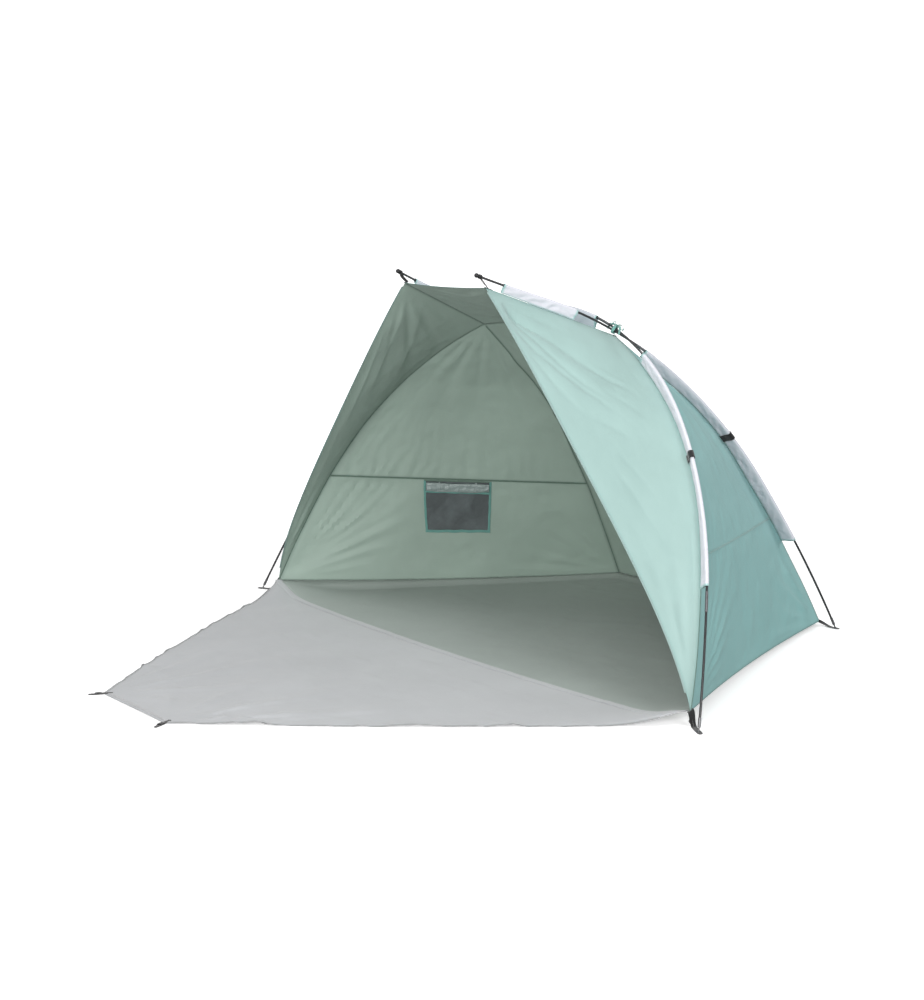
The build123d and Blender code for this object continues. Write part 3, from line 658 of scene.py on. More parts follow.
def add_walls(side):
    mir = MIR if side < 0 else V(1, 1, 1)
    out = RIGHT * mir
    seed = 3.1 if side > 0 else 11.7
    # lower panel
    P = low_wall(u_low, v_lines)
    N = normals(P)
    N = N * np.sign((N @ RIGHT))[..., None]
    ridges = [(0.30, 0.045, 7, 250, 620), (0.42, 0.05, 8, 380, 760), (0.52, 0.045, 6.5, 420, 820), (0.62, 0.04, 6, 330, 700),
              (0.72, 0.035, 5, 260, 560), (0.17, 0.04, 4, 200, 480), (0.82, 0.03, 4, 250, 480), (0.90, 0.03, 3, 300, 520)]
    top_front = wall_point(np.array(0.455), np.array(0.0))
    h = fan(P, FRONT, REAR, top_front, ridges)
    h += fan(P, REAR, FRONT, wall_point(np.array(0.375), np.array(1.0)), [(0.25, 0.06, 3.5, 180, 480), (0.5, 0.07, 4, 220, 520), (0.75, 0.05, 3, 180, 420), (0.08, 0.03, 3.0, 300, 700)])
    h = -h if side < 0 else h
    if side < 0:
        at = lambda u, v: wall_point(np.array(u * float(cross_seam(v))), np.array(float(v)))
        for v1, dep, w in ((0.075, 6, 12), (0.125, 8, 15), (0.18, 7, 14), (0.225, 6, 14), (0.275, 5, 14), (0.33, 3.5, 16)):
            h -= crease(P, [at(0.05, v1 * 0.12), at(0.35, v1 * 0.42), at(0.70, v1 * 0.76), at(0.99, v1)], dep, w * 0.6, w, 1.0, (0.10, 0.93 if v1 < 0.3 else 0.6))
        for u1, v1, dep in ((0.85, 0.80, 4), (0.62, 0.72, 4), (0.42, 0.66, 3.5), (0.30, 0.52, 3)):
            h -= crease(P, [at(0.04, 0.985), at(u1 * 0.5, 1 - (1 - v1) * 0.5), at(u1, v1)], dep, 8, 22, 1.0, (0.2, 0.5))
    h += 3.2 * nz(P * mir, 170.0, seed) + 1.0 * nz(P * mir, 60.0, seed + 5)
    Uc, Vc = np.meshgrid(u_low, v_lines, indexing="ij")
    # short puckers that hang from the cross seam
    h += 2.4 * np.sin(Vc * 150 + 2.0 * nz(P * mir, 200.0, seed + 2)) * np.exp(-(1 - Uc) * 11) * (0.25 + 0.75 * (1 - Vc) ** 2)
    h *= edge_mask(P, (0, 2, 3), 45.0) * edge_mask(P, (1,), 18.0)
    if side < 0:
        win = sstep(0.33, WIN_V0, Vc) * (1 - sstep(WIN_V1, 0.67, Vc)) * sstep(0.41, WIN_U0, Uc)
        h *= 1 - 0.94 * win
    Q = (P + N * h[..., None]) * mir
    skip = None
    if side < 0:
        i0, i1 = np.argmin(abs(u_low - WIN_U0)), np.argmin(abs(u_low - WIN_U1))
        j0, j1 = np.argmin(abs(v_lines - WIN_V0)), np.argmin(abs(v_lines - WIN_V1))
        skip = lambda i, j: i0 <= i < i1 and j0 <= j < j1
    canopy.grid(Q, arc_uv(P), seam_mask(P, (0, 1, 2, 3)), out, skip)
    # upper panel
    P = high_wall(u_up, v_lines)
    N = normals(P)
    N = N * np.sign((N @ RIGHT))[..., None]
    Uc, Vc = np.meshgrid(u_up, v_lines, indexing="ij")
    h = 4.0 * nz(P * mir, 210.0, seed + 20) + 1.1 * nz(P * mir, 70.0, seed + 25)
    pk = np.sin(Vc * 118 + 3.5 * nz(P * mir, 150.0, seed + 3)) + 0.5 * np.sin(Vc * 71 + 2.0)
    h += (3.4 if side < 0 else 1.0) * pk * np.exp(-Uc * (7.0 + 4.0 * nz(P * mir, 120.0, seed + 6))) * (0.22 + 0.78 * (1 - Vc) ** 1.3)
    h += fan(P, RIDGE, arch_seam(0.5), rear_seam(0.45), [(0.12, 0.05, 3.5, 250, 560), (0.3, 0.06, 4, 300, 640), (0.55, 0.06, 3.5, 260, 620), (0.85, 0.05, 4.5, 350, 760)])
    h *= edge_mask(P, (1, 2, 3), 45.0) * edge_mask(P, (0,), 16.0)
    canopy.grid((P + N * h[..., None]) * mir, arc_uv(P), seam_mask(P, (0, 2, 3)), out)


add_walls(1)
add_walls(-1)

# wings
ua = np.concatenate([u_low * WALL_SEAM_FRONT, WALL_SEAM_FRONT + (1 - WALL_SEAM_FRONT) * u_up[1:]])   # along the arch seam
uw = 1 - ua[::-1]
vw = np.linspace(0, 1, NW + 1)


def wing_at(u, v):
    """One point of the wing: u from the awning's side down to the floor corner, v from the free edge to the arch seam."""
    u, v = np.array(float(u)), np.array(float(v))
    return lerp(wing_edge(u), arch_seam(1 - u), v) + (side_seam(v) - lerp(TIP, RIDGE, v)) * (1 - u)


def wing_grid():
    U, W = np.meshgrid(uw, vw, indexing="ij")
    a, b = wing_edge(U), arch_seam(1 - U)
    P = lerp(a, b, W)
    top = side_seam(W)
    lin = lerp(TIP, RIDGE, W)
    return P + (top - lin) * (1 - U)[..., None], U, W


for side in (1, -1):
    mir = MIR if side < 0 else V(1, 1, 1)
    P, U, W = wing_grid()
    N = normals(P)
    N = N * np.sign(N @ V(0.79, 0.0, 0.61))[..., None]
    seed = 31.0 if side > 0 else 47.0
    # hollow between the tension lines: the middle of the panel is drawn in a little
    h = -14.0 * np.sin(np.pi * np.clip(U, 0, 1)) * np.sin(np.pi * W) ** 1.0
    if side > 0:
        ridges = [(0.10, 0.030, 6, 260, 620), (0.20, 0.034, 9, 420, 900), (0.31, 0.030, 8, 480, 1000), (0.42, 0.030, 10, 560, 1150),
                  (0.55, 0.034, 8, 520, 1050), (0.68, 0.034, 6, 420, 900), (0.82, 0.03, 4, 320, 760)]
    else:
        ridges = [(0.15, 0.04, 2.5, 260, 600), (0.34, 0.04, 3.5, 380, 820), (0.55, 0.04, 4, 420, 900), (0.76, 0.04, 3, 380, 860)]
    if side > 0:
        h *= 0.5
        wl = lambda pts: [wing_at(u, v) for u, v in pts]
        h += crease(P, wl([(0.029, 0.046), (0.087, 0.309), (0.153, 0.526), (0.208, 0.684), (0.256, 0.844)]), 24, 34, 66, 1.5, (0.14, 0.74))
        h += crease(P, wl([(0.020, 0.044), (0.051, 0.155), (0.074, 0.293), (0.093, 0.432)]), 7.0, 9, 16, 1.0, (0.2, 0.55))
        h += crease(P, wl([(0.010, 0.098), (0.030, 0.275), (0.047, 0.434), (0.067, 0.601)]), 6.5, 9, 18, 1.1, (0.2, 0.5))
        h += crease(P, wl([(0.165, 0.505), (0.203, 0.643), (0.251, 0.760)]), -4.5, 9, 12, 1.0, (0.3, 0.6))
        h += crease(P, wl([(0.150, 0.56), (0.185, 0.69), (0.225, 0.80)]), -4.0, 8, 11, 1.0, (0.3, 0.6))
        h += crease(P, wl([(0.035, 0.062), (0.116, 0.201), (0.194, 0.360), (0.241, 0.482), (0.283, 0.619)]), 10.5, 11, 21, 1.2, (0.12, 0.62))
        h += crease(P, wl([(0.067, 0.024), (0.137, 0.119), (0.228, 0.354), (0.275, 0.478), (0.341, 0.625)]), 10.5, 11, 23, 1.2, (0.12, 0.60))
        h += crease(P, wl([(0.126, 0.024), (0.208, 0.102), (0.285, 0.205), (0.341, 0.318)]), 6.5, 12, 24, 1.2, (0.2, 0.5))
        h += crease(P, wl([(0.300, 0.20), (0.335, 0.42), (0.385, 0.61)]), 5.5, 16, 26, 1.3, (0.3, 0.6))
        h += crease(P, wl([(0.428, 0.252), (0.502, 0.356), (0.565, 0.423), (0.64, 0.56)]), 5.0, 18, 28, 1.3, (0.3, 0.55))
        h += crease(P, wl([(0.40, 0.36), (0.470, 0.50), (0.541, 0.62)]), 4.0, 16, 24, 1.2, (0.3, 0.6))
        h += crease(P, wl([(0.22, 0.50), (0.27, 0.66), (0.33, 0.80)]), 4.0, 14, 20, 1.2, (0.3, 0.6))
        # tight vertical puckers beside the arch seam, above the floor corner
        h += crease(P, wl([(0.60, 0.90), (0.75, 0.885), (0.88, 0.84), (0.975, 0.66)]), 6.0, 7, 5, 1.0, (0.15, 0.9))
        h += crease(P, wl([(0.70, 0.93), (0.85, 0.93), (0.97, 0.90)]), 4.5, 6, 4, 1.0, (0.2, 0.8))
        h += crease(P, wl([(0.55, 0.95), (0.70, 0.96), (0.80, 0.955)]), -3.0, 6, 5, 1.0, (0.2, 0.7))
    else:
        h += fan(P, TIP, RIDGE, FRONT, ridges)
        wl = lambda pts: [wing_at(u, v) for u, v in pts]
        h += crease(P, wl([(0.04, 0.10), (0.16, 0.22), (0.34, 0.33)]), 4.5, 10, 22, 1.0, (0.2, 0.6))
        h += crease(P, wl([(0.05, 0.30), (0.16, 0.50), (0.30, 0.66)]), 4, 10, 22, 1.0, (0.2, 0.6))
        h += crease(P, wl([(0.10, 0.03), (0.28, 0.14), (0.50, 0.24)]), 4, 10, 20, 1.0, (0.2, 0.6))
    h += fan(P, FRONT, wing_edge(np.array(0.3)), arch_seam(0.6), [(0.15, 0.16, 2.5, 250, 620), (0.55, 0.16, 3.5, 300, 700), (0.95, 0.14, 3, 350, 800)])
    h += 3.5 * nz(P * mir, 230.0, seed) + 1.0 * nz(P * mir, 80.0, seed + 4)
    # gathers against the arch seam near the ground
    h += 1.8 * np.sin(U * 95 + 4 * nz(P * mir, 160.0, seed + 9)) * np.exp(-(1 - W) * 7) * sstep(0.3, 0.7, U)
    h *= edge_mask(P, (0, 1, 3), 60.0) * (0.25 + 0.75 * sstep(0, 60, np.linalg.norm(P - P[:, :1], axis=-1)))
    # material slot 2 gives the wings the paler copy of the outside fabric: painted light on the sun-facing panels
    canopy.grid((P + N * h[..., None]) * mir, arc_uv(P), seam_mask(P, (0, 2, 3), 10.0), V(0.79, 0.0, 0.61) * mir, mat=2)


def coons(c0, c1, d0, d1, us, vs):
    U, W = np.meshgrid(us, vs, indexing="ij")
    a = lerp(c0(U), c1(U), W)
    b = lerp(d0(W), d1(W), U)
    c = lerp(lerp(c0(0.0), c0(1.0), U), lerp(c1(0.0), c1(1.0), U), W)
    return a + b - c, U, W


# awning roof
P, U, W = coons(lambda t: side_seam(t) * MIR, side_seam, awning, ridge, vw, np.linspace(0, 1, NR + 1))
N = normals(P)
N = N * np.sign(N[..., 2])[..., None]
h = -9.0 * np.sin(np.pi * W) * np.sin(np.pi * np.clip(U, 0.0, 1)) + 3.0 * nz(P, 160.0, 61.0) + 0.8 * nz(P, 60.0, 64.0)
h += fan(P, TIP, TIP * MIR, RIDGE, [(0.2, 0.05, 4, 120, 330), (0.45, 0.05, 4, 160, 400), (0.72, 0.05, 3.5, 160, 380)])
h += fan(P, TIP * MIR, TIP, RIDGE * MIR, [(0.2, 0.05, 4, 120, 330), (0.45, 0.05, 4, 160, 400), (0.72, 0.05, 3.5, 160, 380)])
h *= edge_mask(P, (1, 2, 3), 55.0) * (0.3 + 0.7 * sstep(0, 60, np.linalg.norm(P - P[:1], axis=-1)))
canopy.grid(P + N * h[..., None], arc_uv(P), seam_mask(P, (0, 1, 2, 3)), V(0, 0, 1))

# back wall
ub = np.concatenate([u_low * WALL_SEAM_REAR, WALL_SEAM_REAR + (1 - WALL_SEAM_REAR) * u_up[1:]])
P, U, W = coons(lambda t: rear_seam(t) * MIR, rear_seam, lambda t: lerp(REAR * MIR, REAR, t), ridge, ub, np.linspace(0, 1, NR + 1))
N = normals(P)
N = N * np.sign(N @ V(0, 0.8, 0.5))[..., None]
h = 5.0 * nz(P, 260.0, 71.0) + 1.2 * nz(P, 80.0, 75.0)
h += fan(P, REAR, REAR * MIR, rear_seam(0.5), [(0.3, 0.06, 5, 260, 640), (0.55, 0.06, 6, 300, 760), (0.8, 0.05, 5, 300, 700)])
h += fan(P, REAR * MIR, REAR, rear_seam(0.5) * MIR, [(0.25, 0.06, 5, 260, 640), (0.5, 0.06, 6, 300, 760), (0.78, 0.05, 5, 300, 700)])
h += fan(P, RIDGE, RIDGE * MIR, rear_seam(0.5), [(0.35, 0.06, 4, 200, 520), (0.7, 0.06, 4, 240, 600)])
h += fan(P, RIDGE * MIR, RIDGE, rear_seam(0.5) * MIR, [(0.35, 0.06, 4, 200, 520), (0.7, 0.06, 4, 240, 600)])
h *= edge_mask(P, (0, 1, 2, 3), 60.0)
canopy.grid(P + N * h[..., None], arc_uv(P), seam_mask(P, (0, 1, 2, 3)), V(0, 0.8, 0.5))

shell = canopy.build("canopy_shell", [M_OUT, M_IN, M_WING_PAINTED_LIGHT, M_IN])
solidify(shell, 0.0009, -1.0, 1, 0)
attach(shell, "root")
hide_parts("awning_roof", "wing_left", "wing_right", "side_wall_lower_left", "side_wall_lower_right",
            "side_wall_upper_left", "side_wall_upper_right", "back_wall")
shell_pieces = []


# --------------------------------------------------------------------------- ribbons, tapes and straps
def ribbon(name, pts, wdirs, width, thick, mat, lift=0.0, widths=None, cross=5, crown=0.0, closed=False, stitch=0.0, body="root"):
    """Flat strip of real thickness along pts; wdirs is the direction across it at each point."""
    pts = np.asarray(pts, float)
    n = len(pts)
    tang = np.gradient(pts, axis=0)
    if closed:
        tang[0] = tang[-1] = pts[1] - pts[-2]
    tang /= np.linalg.norm(tang, axis=1, keepdims=True)
    w = np.asarray(wdirs, float) * np.ones((n, 3))
    w = w - tang * (w * tang).sum(1, keepdims=True)
    w /= np.linalg.norm(w, axis=1, keepdims=True)
    nn = np.cross(tang, w)
    ws = np.full(n, width, float) if widths is None else np.asarray(widths, float)
    s = np.concatenate([[0], np.cumsum(np.linalg.norm(np.diff(pts, axis=0), axis=1))])
    ring = []
    ks = np.linspace(-1, 1, cross)
    for k in ks:
        ring.append((k, 0.5 + crown * (1 - k * k)))
    for k in ks[::-1]:
        ring.append((k, -0.5 + crown * (1 - k * k)))
    m = len(ring)
    verts, uvs, faces = [], [], []
    for i in range(n):
        pin = 1.0 - stitch * 0.5 * (1 + math.cos(s[i] / 3.0 * 2 * math.pi)) if stitch else 1.0
        for k, q in ring:
            e = 0.8 if abs(k) > 0.99 else 1.0
            verts.append(pts[i] + w[i] * k * ws[i] / 2 + nn[i] * (q * thick * e * pin + lift))
            uvs.append((s[i] * MM, k * ws[i] / 2 * MM))
    for i in range(n - 1):
        for j in range(m):
            a, b = i * m + j, i * m + (j + 1) % m
            faces.append((a, b, b + m, a + m))
    if not closed:
        for base, rev in ((0, False), ((n - 1) * m, True)):
            for j in range(cross - 1):
                f = (base + j, base + m - 1 - j, base + m - 2 - j, base + j + 1)
                faces.append(f[::-1] if rev else f)
    o = new_object(name, np.array(verts) * MM, faces, [mat], uvs=uvs)
    bm = bmesh.new()
    bm.from_mesh(o.data)
    bmesh.ops.remove_doubles(bm, verts=bm.verts, dist=1e-7)
    bmesh.ops.recalc_face_normals(bm, faces=bm.faces)
    for e in bm.edges:
        if len(e.link_faces) == 2 and e.calc_face_angle(0.0) > 0.7:
            e.smooth = False
    bm.to_mesh(o.data)
    bm.free()
    if body:
        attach(o, body)
    return o


def both(name, make):
    """make(side) for the right and the left."""
    return [make(1, name + "_right"), make(-1, name + "_left")]


# flat-felled seams: a tape over every seam line, inside the shell
def seam_tape(name, curve, nrm, inside, width=7.5, n=150, t0=0.0, t1=1.0, mat=None):
    ts = np.linspace(t0, t1, n)
    P = np.array([curve(t) for t in ts])
    nr = np.array([nrm(t) for t in ts])
    nr /= np.linalg.norm(nr, axis=1, keepdims=True)
    tang = np.gradient(P, axis=0)
    w = np.cross(nr, tang)
    P = P + nr * (-1.9 if inside else 0.9)
    return ribbon(name, P, w, width, 1.1, mat or (M_SEAM_IN if inside else M_SEAM_OUT), stitch=0.25)


def toward_pole(chain, seam, lo, hi):
    def f(t):
        q = seam(t)
        c, d = chain.at(chain.nearest(q, lo, hi, 120))
        r = c - q
        r = r - d * (r @ d)
        return r / np.linalg.norm(r)
    return f


for side in (1, -1):
    mir = MIR if side < 0 else V(1, 1, 1)
    sfx = "_right" if side > 0 else "_left"
    f1 = toward_pole(arch, arch_seam, 300, 1940)
    shell_pieces.append(seam_tape("seam_arch" + sfx, lambda t: arch_seam(t) * mir, lambda t: f1(t) * mir, True))
    f2 = toward_pole(longp, rear_seam, 500, 2010)
    shell_pieces.append(seam_tape("seam_rear" + sfx, lambda t: rear_seam(t) * mir, lambda t: f2(t) * mir, True, t1=0.99))
    shell_pieces.append(seam_tape("seam_awning" + sfx, lambda t: side_seam(t) * mir, lambda t: V(0.35, 0, 0.94) * mir, True, n=60))
    cs = lambda t: wall_point(np.array(cross_seam(t)), np.array(t)) * mir
    shell_pieces.append(seam_tape("seam_cross" + sfx, cs, lambda t: V(0.8, 0.4, 0.4) * mir, True, width=7.0, t0=0.004, t1=0.996))
    shell_pieces.append(seam_tape("seam_cross_outer" + sfx, cs, lambda t: V(0.8, 0.4, 0.4) * mir, False, width=6.0, t0=0.004, t1=0.996))
shell_pieces.append(seam_tape("seam_ridge", ridge, lambda t: V(0, 0.25, 0.97), True, n=80))
hem = seam_tape("hem_awning", lambda t: awning(t) + V(0, 6, 0), lambda t: V(0, 0, 1), True, width=12.0, n=80, t0=0.01, t1=0.99)
shell_pieces.append(hem)


# --------------------------------------------------------------------------- pole sleeves
def section_at(chain, seam, t, s_lo, s_hi, mirror_=1):
    q = seam(t)
    s = chain.nearest(q, s_lo, s_hi, 400)
    c, d = chain.at(s)
    down = q - c
    down = down - d * (down @ d)
    L = np.linalg.norm(down)
    down /= L
    return c, d, down, np.cross(d, down), L


def sleeve(name, chain, seam, t0, t1, s_lo, s_hi, side, n, mat, r=6.6, root=1.2, foot=0.9, amp=1.0, seed=0.0, pinch=None):
    """Cloth folded over the pole and sewn down at the seam, with slack wrinkles."""
    mir = MIR if side < 0 else V(1, 1, 1)
    k_leg, k_arc = 9, 12
    rows = []
    for i, t in enumerate(np.linspace(t0, t1, n)):
        tt = t
        c, d, down, acr, L = section_at(chain, seam, tt, s_lo, s_hi)
        row = []
        # up one leg, round the pole, down the other
        for k in range(k_leg):
            e = k / k_leg
            h_ = (L - root) * (1 - e)
            half = foot + (r - foot) * sstep(0.35, 1.0, np.array(e)) * 1.0
            row.append(c + down * h_ - acr * half)
        for k in range(k_arc + 1):
            a = math.pi * k / k_arc
            row.append(c - down * r * math.sin(a) - acr * r * math.cos(a))
        for k in range(k_leg - 1, -1, -1):
            e = k / k_leg
            h_ = (L - root) * (1 - e)
            half = foot + (r - foot) * sstep(0.35, 1.0, np.array(e)) * 1.0
            row.append(c + down * h_ + acr * half)
        rows.append(row)
    P = np.array(rows)
    m = P.shape[1]
    # slack: each leg bellies and puckers between the seam and the pole
    leg = np.concatenate([np.linspace(0, 1, k_leg, endpoint=False), np.ones(k_arc + 1), np.linspace(0, 1, k_leg, endpoint=False)[::-1]])
    belly = np.sin(np.pi * np.clip(leg, 0, 1))[None, :]
    s_len = np.cumsum(np.concatenate([[0], np.linalg.norm(np.diff(P[:, m // 2], axis=0), axis=1)]))[:, None]
    sign = np.concatenate([-np.ones(k_leg), np.zeros(k_arc + 1), np.ones(k_leg)])[None, :]
    A = np.array([section_at(chain, seam, t, s_lo, s_hi)[3] for t in np.linspace(t0, t1, n)])
    wr = nz(P, 34.0, seed + side * 3.0, 3, (1, 1, 1))
    diag = np.sin(s_len / 11.0 + leg[None, :] * 5.0 * sign + 2.5 * nz(P, 90.0, seed + 8.0))
    tv = np.linspace(t0, t1, n)[:, None]
    if pinch is not None:
        belly = belly * (1 - 0.88 * np.exp(-((tv - pinch) / 0.022) ** 2))
    push = amp * belly * (1.6 + 1.8 * wr + 1.1 * diag) * sign
    P = P + A[:, None, :] * push[..., None]
    P = P + A[:, None, :] * (amp * 1.1 * nz(P, 120.0, seed + 14.0) * belly)[..., None]
    P = P * mir
    U = np.broadcast_to(s_len, P.shape[:2])
    girth = np.cumsum(np.concatenate([[0], np.linalg.norm(np.diff(P[n // 2], axis=0), axis=1)]))[None, :]
    uv = np.stack([U, np.broadcast_to(girth, P.shape[:2])], -1) * MM
    end = np.minimum(s_len, s_len[-1] - s_len)
    seamv = np.maximum(1 - sstep(4, 9, end) * np.ones_like(U), (1 - np.clip(leg * 6, 0, 1))[None, :] * np.ones_like(U))
    b = Builder()
    b.grid(P, uv, seamv, (-section_at(chain, seam, (t0 + t1) / 2, s_lo, s_hi)[2]) * mir)
    o = b.build(name, [mat], sharp=1.2)
    solidify(o, 0.0007, -1.0, 0, 0)
    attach(o, "root")
    return o


SL = dict(
    awning=(longp, side_seam, 0.115, 0.675, 40, 520, 80),
    arch=(arch, arch_seam, 0.258, 0.872, 350, 1700, 190),
    rear=(longp, rear_seam, 0.258, 0.912, 540, 1800, 190))
sleeves = []
for key, (chain, seam, t0, t1, a, b_, n) in SL.items():
    for side in (1, -1):
        sfx = "_right" if side > 0 else "_left"
        o = sleeve("sleeve_" + key + sfx, chain, seam, t0, t1, a, b_, side, n, M_SLEEVE, seed=len(sleeves) * 7.3, amp=1.5 if key != "awning" else 1.7, pinch={"arch": 0.561, "rear": 0.591}.get(key))
        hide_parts(key + "_sleeve" + sfx)
        sleeves.append((o, key, side))
ridge_right = lambda t: ridge(0.5 + t / 2)


def ridge_sleeve():
    objs = []
    b = Builder()
    for side in (1, -1):
        o = sleeve("tmp", arch, ridge_right, 0.0, 0.70, 0, 420, side, 50, M_SLEEVE, seed=60.0 + side, amp=1.0)
        objs.append(o)
    bm = bmesh.new()
    for o in objs:
        bm.from_mesh(o.data)
    me = bpy.data.meshes.new("sleeve_ridge")
    bm.to_mesh(me)
    bm.free()
    me.materials.append(M_SLEEVE)
    for o in objs:
        bpy.data.objects.remove(o)
    r = bpy.data.objects.new("sleeve_ridge", me)
    scene.collection.objects.link(r)
    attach(r, "root")
    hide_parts("ridge_sleeve")
    return r


rs = ridge_sleeve()

# webbing bands that wrap the sleeves
for key, chain, seam, t0, t1, a, b_ in (("arch", arch, arch_seam, 0.551, 0.571, 350, 1700), ("rear", longp, rear_seam, 0.582, 0.600, 540, 1800)):
    for side in (1, -1):
        o = sleeve("band_" + key + ("_right" if side > 0 else "_left"), chain, seam, t0, t1, a, b_, side, 12, M_WEB, r=9.6, root=0.0, foot=5.2, amp=0.05, seed=90.0)
    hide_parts(key + "_sleeve_bands")

# --------------------------------------------------------------------------- groundsheet and front door
NS, NT = 70, 110
AX_Y = -12.0


def seam_y(t):
    return -66.0 * np.clip(1 - t * t, 0, 1) ** 0.8


def floor_grid():
    s = np.linspace(0, 1, NS + 1)
    t = np.linspace(-1, 1, NT + 1)
    S, T = np.meshgrid(s, t, indexing="ij")
    X = (FRONT[0] * (1 - S) + REAR[0] * S) - 30 * 4 * S * (1 - S) * 0.9 - 5
    x = T * X
    y = seam_y(T) * (1 - S) ** 2.0 * (1 - S * 0.2) + REAR[1] * S - 14 * 4 * S * (1 - S) * abs(T) ** 6
    y = np.minimum(y, REAR[1] - 4)
    P = np.stack([x, y, np.zeros_like(x)], -1)
    # upstand against the walls: the last strip turns up to the wall seam
    side_h = 42 * (1 - S) + 14 * S - 4 * 4 * S * (1 - S)
    d_side = (1 - abs(T)) * X
    z = (side_h + 1.5) * (1 - sstep(0, 46, d_side)) ** 1.4
    d_rear = (1 - S) * REAR[1]
    z = np.maximum(z, 15.0 * (1 - sstep(0, 40, d_rear)))
    # cloth lies on uneven ground: shallow billows and long creases
    fade = sstep(0, 90, d_side) * sstep(0, 90, d_rear)
    b = 2.6 * (nz(P, 330.0, 101.0) + 0.25) + 1.2 * nz(P, 110.0, 104.0)
    crease = np.maximum(0, 1 - abs(nz(P, 300.0, 107.0, 2)) / 0.06) * 3.0
    z = z + fade * np.maximum(0, b + crease) * (0.4 + 0.6 * sstep(0, 120, np.linalg.norm(P - P[:1], axis=-1)))
    # front corners are held up to the wall corners
    corner = np.exp(-((1 - abs(T)) * 1187 / 120.0) ** 2) * np.exp(-(S * 1292 / 160.0) ** 2)
    z = np.maximum(z, 38.0 * corner * sstep(0.55, 1.0, abs(T)))
    P[..., 2] = z + 1.0
    return P, S, T


P, S, T = floor_grid()
fb = Builder()
sm = np.zeros_like(S)
fb.grid(P, np.stack([P[..., 0], P[..., 1]], -1) * MM, sm, V(0, 0, 1))
floor_obj = fb.build("floor_sheet", [M_FLOOR], sharp=0.9)
floor_front = P[0].copy()
solidify(floor_obj, 0.0009, -1.0, 0, 0)
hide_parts("groundsheet")


def door_x(s):
    return FRONT[0] + (DOOR_TIP_X - FRONT[0]) * s + DOOR_BULGE * 4 * s * (1 - s)


def door_grid():
    s = np.linspace(0, 1, 91) ** 1.15
    t = np.linspace(-1, 1, NT + 1)
    S, T = np.meshgrid(s, t, indexing="ij")
    X = door_x(S) - 3.0
    x = T * X
    y0 = seam_y(T)
    y = y0 * (1 - S) - DOOR_LEN * S
    P = np.stack([x, y, np.zeros_like(x)], -1)
    edge = (1 - abs(T)) * X * 0.75
    # free hems ripple; the panel carries long shallow folds between its corners
    rip = np.exp(-edge / 90.0)
    run = S * 1600
    z = rip * np.maximum(0, 6.0 * np.sin(run / 41.0 + 4.2 * nz(P, 260.0, 131.0)) * (0.6 + 0.8 * nz(P, 420.0, 135.0)) + 5.0 * nz(P, 110.0, 133.0) + 1.0) * sstep(0.08, 0.25, S) * (1 - 0.7 * sstep(0.86, 1.0, S))
    tipc = V(DOOR_TIP_X, -DOOR_LEN, 0)
    Pm = P * V(1, 1, 1)
    for sgn in (1, -1):
        c = tipc * V(sgn, 1, 1)
        z = z + np.maximum(0, fan(Pm, c, c * V(-1, 1, 1), V(1187 * sgn, 0, 0), [(0.25, 0.06, 5, 240, 620), (0.5, 0.05, 6, 320, 860), (0.72, 0.04, 6, 420, 1000), (0.9, 0.03, 5, 420, 1100)])) * 0.8
    z = z + np.maximum(0, 3.0 * nz(P, 300.0, 137.0, 3, (0.7, 1.3, 1)) + 2.0 * nz(P, 110.0, 139.0, 3, (0.6, 1.6, 1)) + 1.2)
    # parallel soft creases that run along the sheet
    z = z + np.maximum(0, np.sin((P[..., 1] * 0.9 - P[..., 0] * 0.35) / 26.0 + 3.0 * nz(P, 260.0, 143.0))) * 1.6 * (0.5 + 0.5 * nz(P, 380.0, 146.0))
    z = z * (0.3 + 0.7 * sstep(0, 70, abs(P[..., 1] - y0)))
    z = np.maximum(z, 0)
    corner = np.exp(-((1 - abs(T)) * 1187 / 130.0) ** 2) * np.exp(-(S * 1262 / 120.0) ** 2)
    z = np.maximum(z, 38.0 * corner * sstep(0.5, 1.0, abs(T)))
    # meet the floor sheet exactly along the seam
    k = (1 - sstep(0, 0.05, S))
    z = z * (1 - k) + (floor_front[:, 2][None, :] - 1.0) * k
    P[..., 2] = z + 1.0
    return P, S, T


P, S, T = door_grid()
db = Builder()
sm = np.maximum(1 - sstep(6, 12, (1 - abs(T)) * door_x(S)), 1 - sstep(6, 12, (1 - S) * DOOR_LEN))
db.grid(P, np.stack([P[..., 0], P[..., 1]], -1) * MM, sm, V(0, 0, 1))
door_obj = db.build("door_sheet", [M_DOOR], sharp=0.9)
door_P = P
area_door = sum(p.area for p in door_obj.data.polygons)
solidify(door_obj, 0.0009, -1.0, 0, 0)
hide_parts("front_door")

# raised, double-stitched seam between the floor and the door
sp = door_P[1].copy()
sp[:, 2] += 1.6
seam_strip = ribbon("seam_floor_door", sp, V(0, 1, 0), 26.0, 1.6, M_DOOR, crown=0.5, cross=7, body=None)
for o in (floor_obj, door_obj, seam_strip):
    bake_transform(o)

# zip tapes: along the wing edges and along the door edges
for side in (1, -1):
    mir = MIR if side < 0 else V(1, 1, 1)
    sfx = "_right" if side > 0 else "_left"
    ts = np.linspace(0.012, 0.955, 240)
    Pz = (wing_edge(ts) + V(-0.6, -2.4, 0)) * mir
    o = ribbon("zip_wing" + sfx, Pz, V(-0.3, -1.0, 0) * mir, 7.0, 1.3, M_ZIP, body="root")
    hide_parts("wing_zip_tape" + sfx)
    j = -1 if side > 0 else 0
    e = door_P[8:, j].copy()
    dn = Curve(e)
    e = dn(np.linspace(0, 1, 240)) + V(side * 2.0, 0, 0)
    e[:, 2] = np.maximum(e[:, 2], 1.2) + 0.2
    o = ribbon("zip_door" + sfx, e, V(side, 0.6, 0), 7.0, 1.3, M_ZIP_DOOR, body="door")
    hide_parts("door_zip_tape" + sfx)
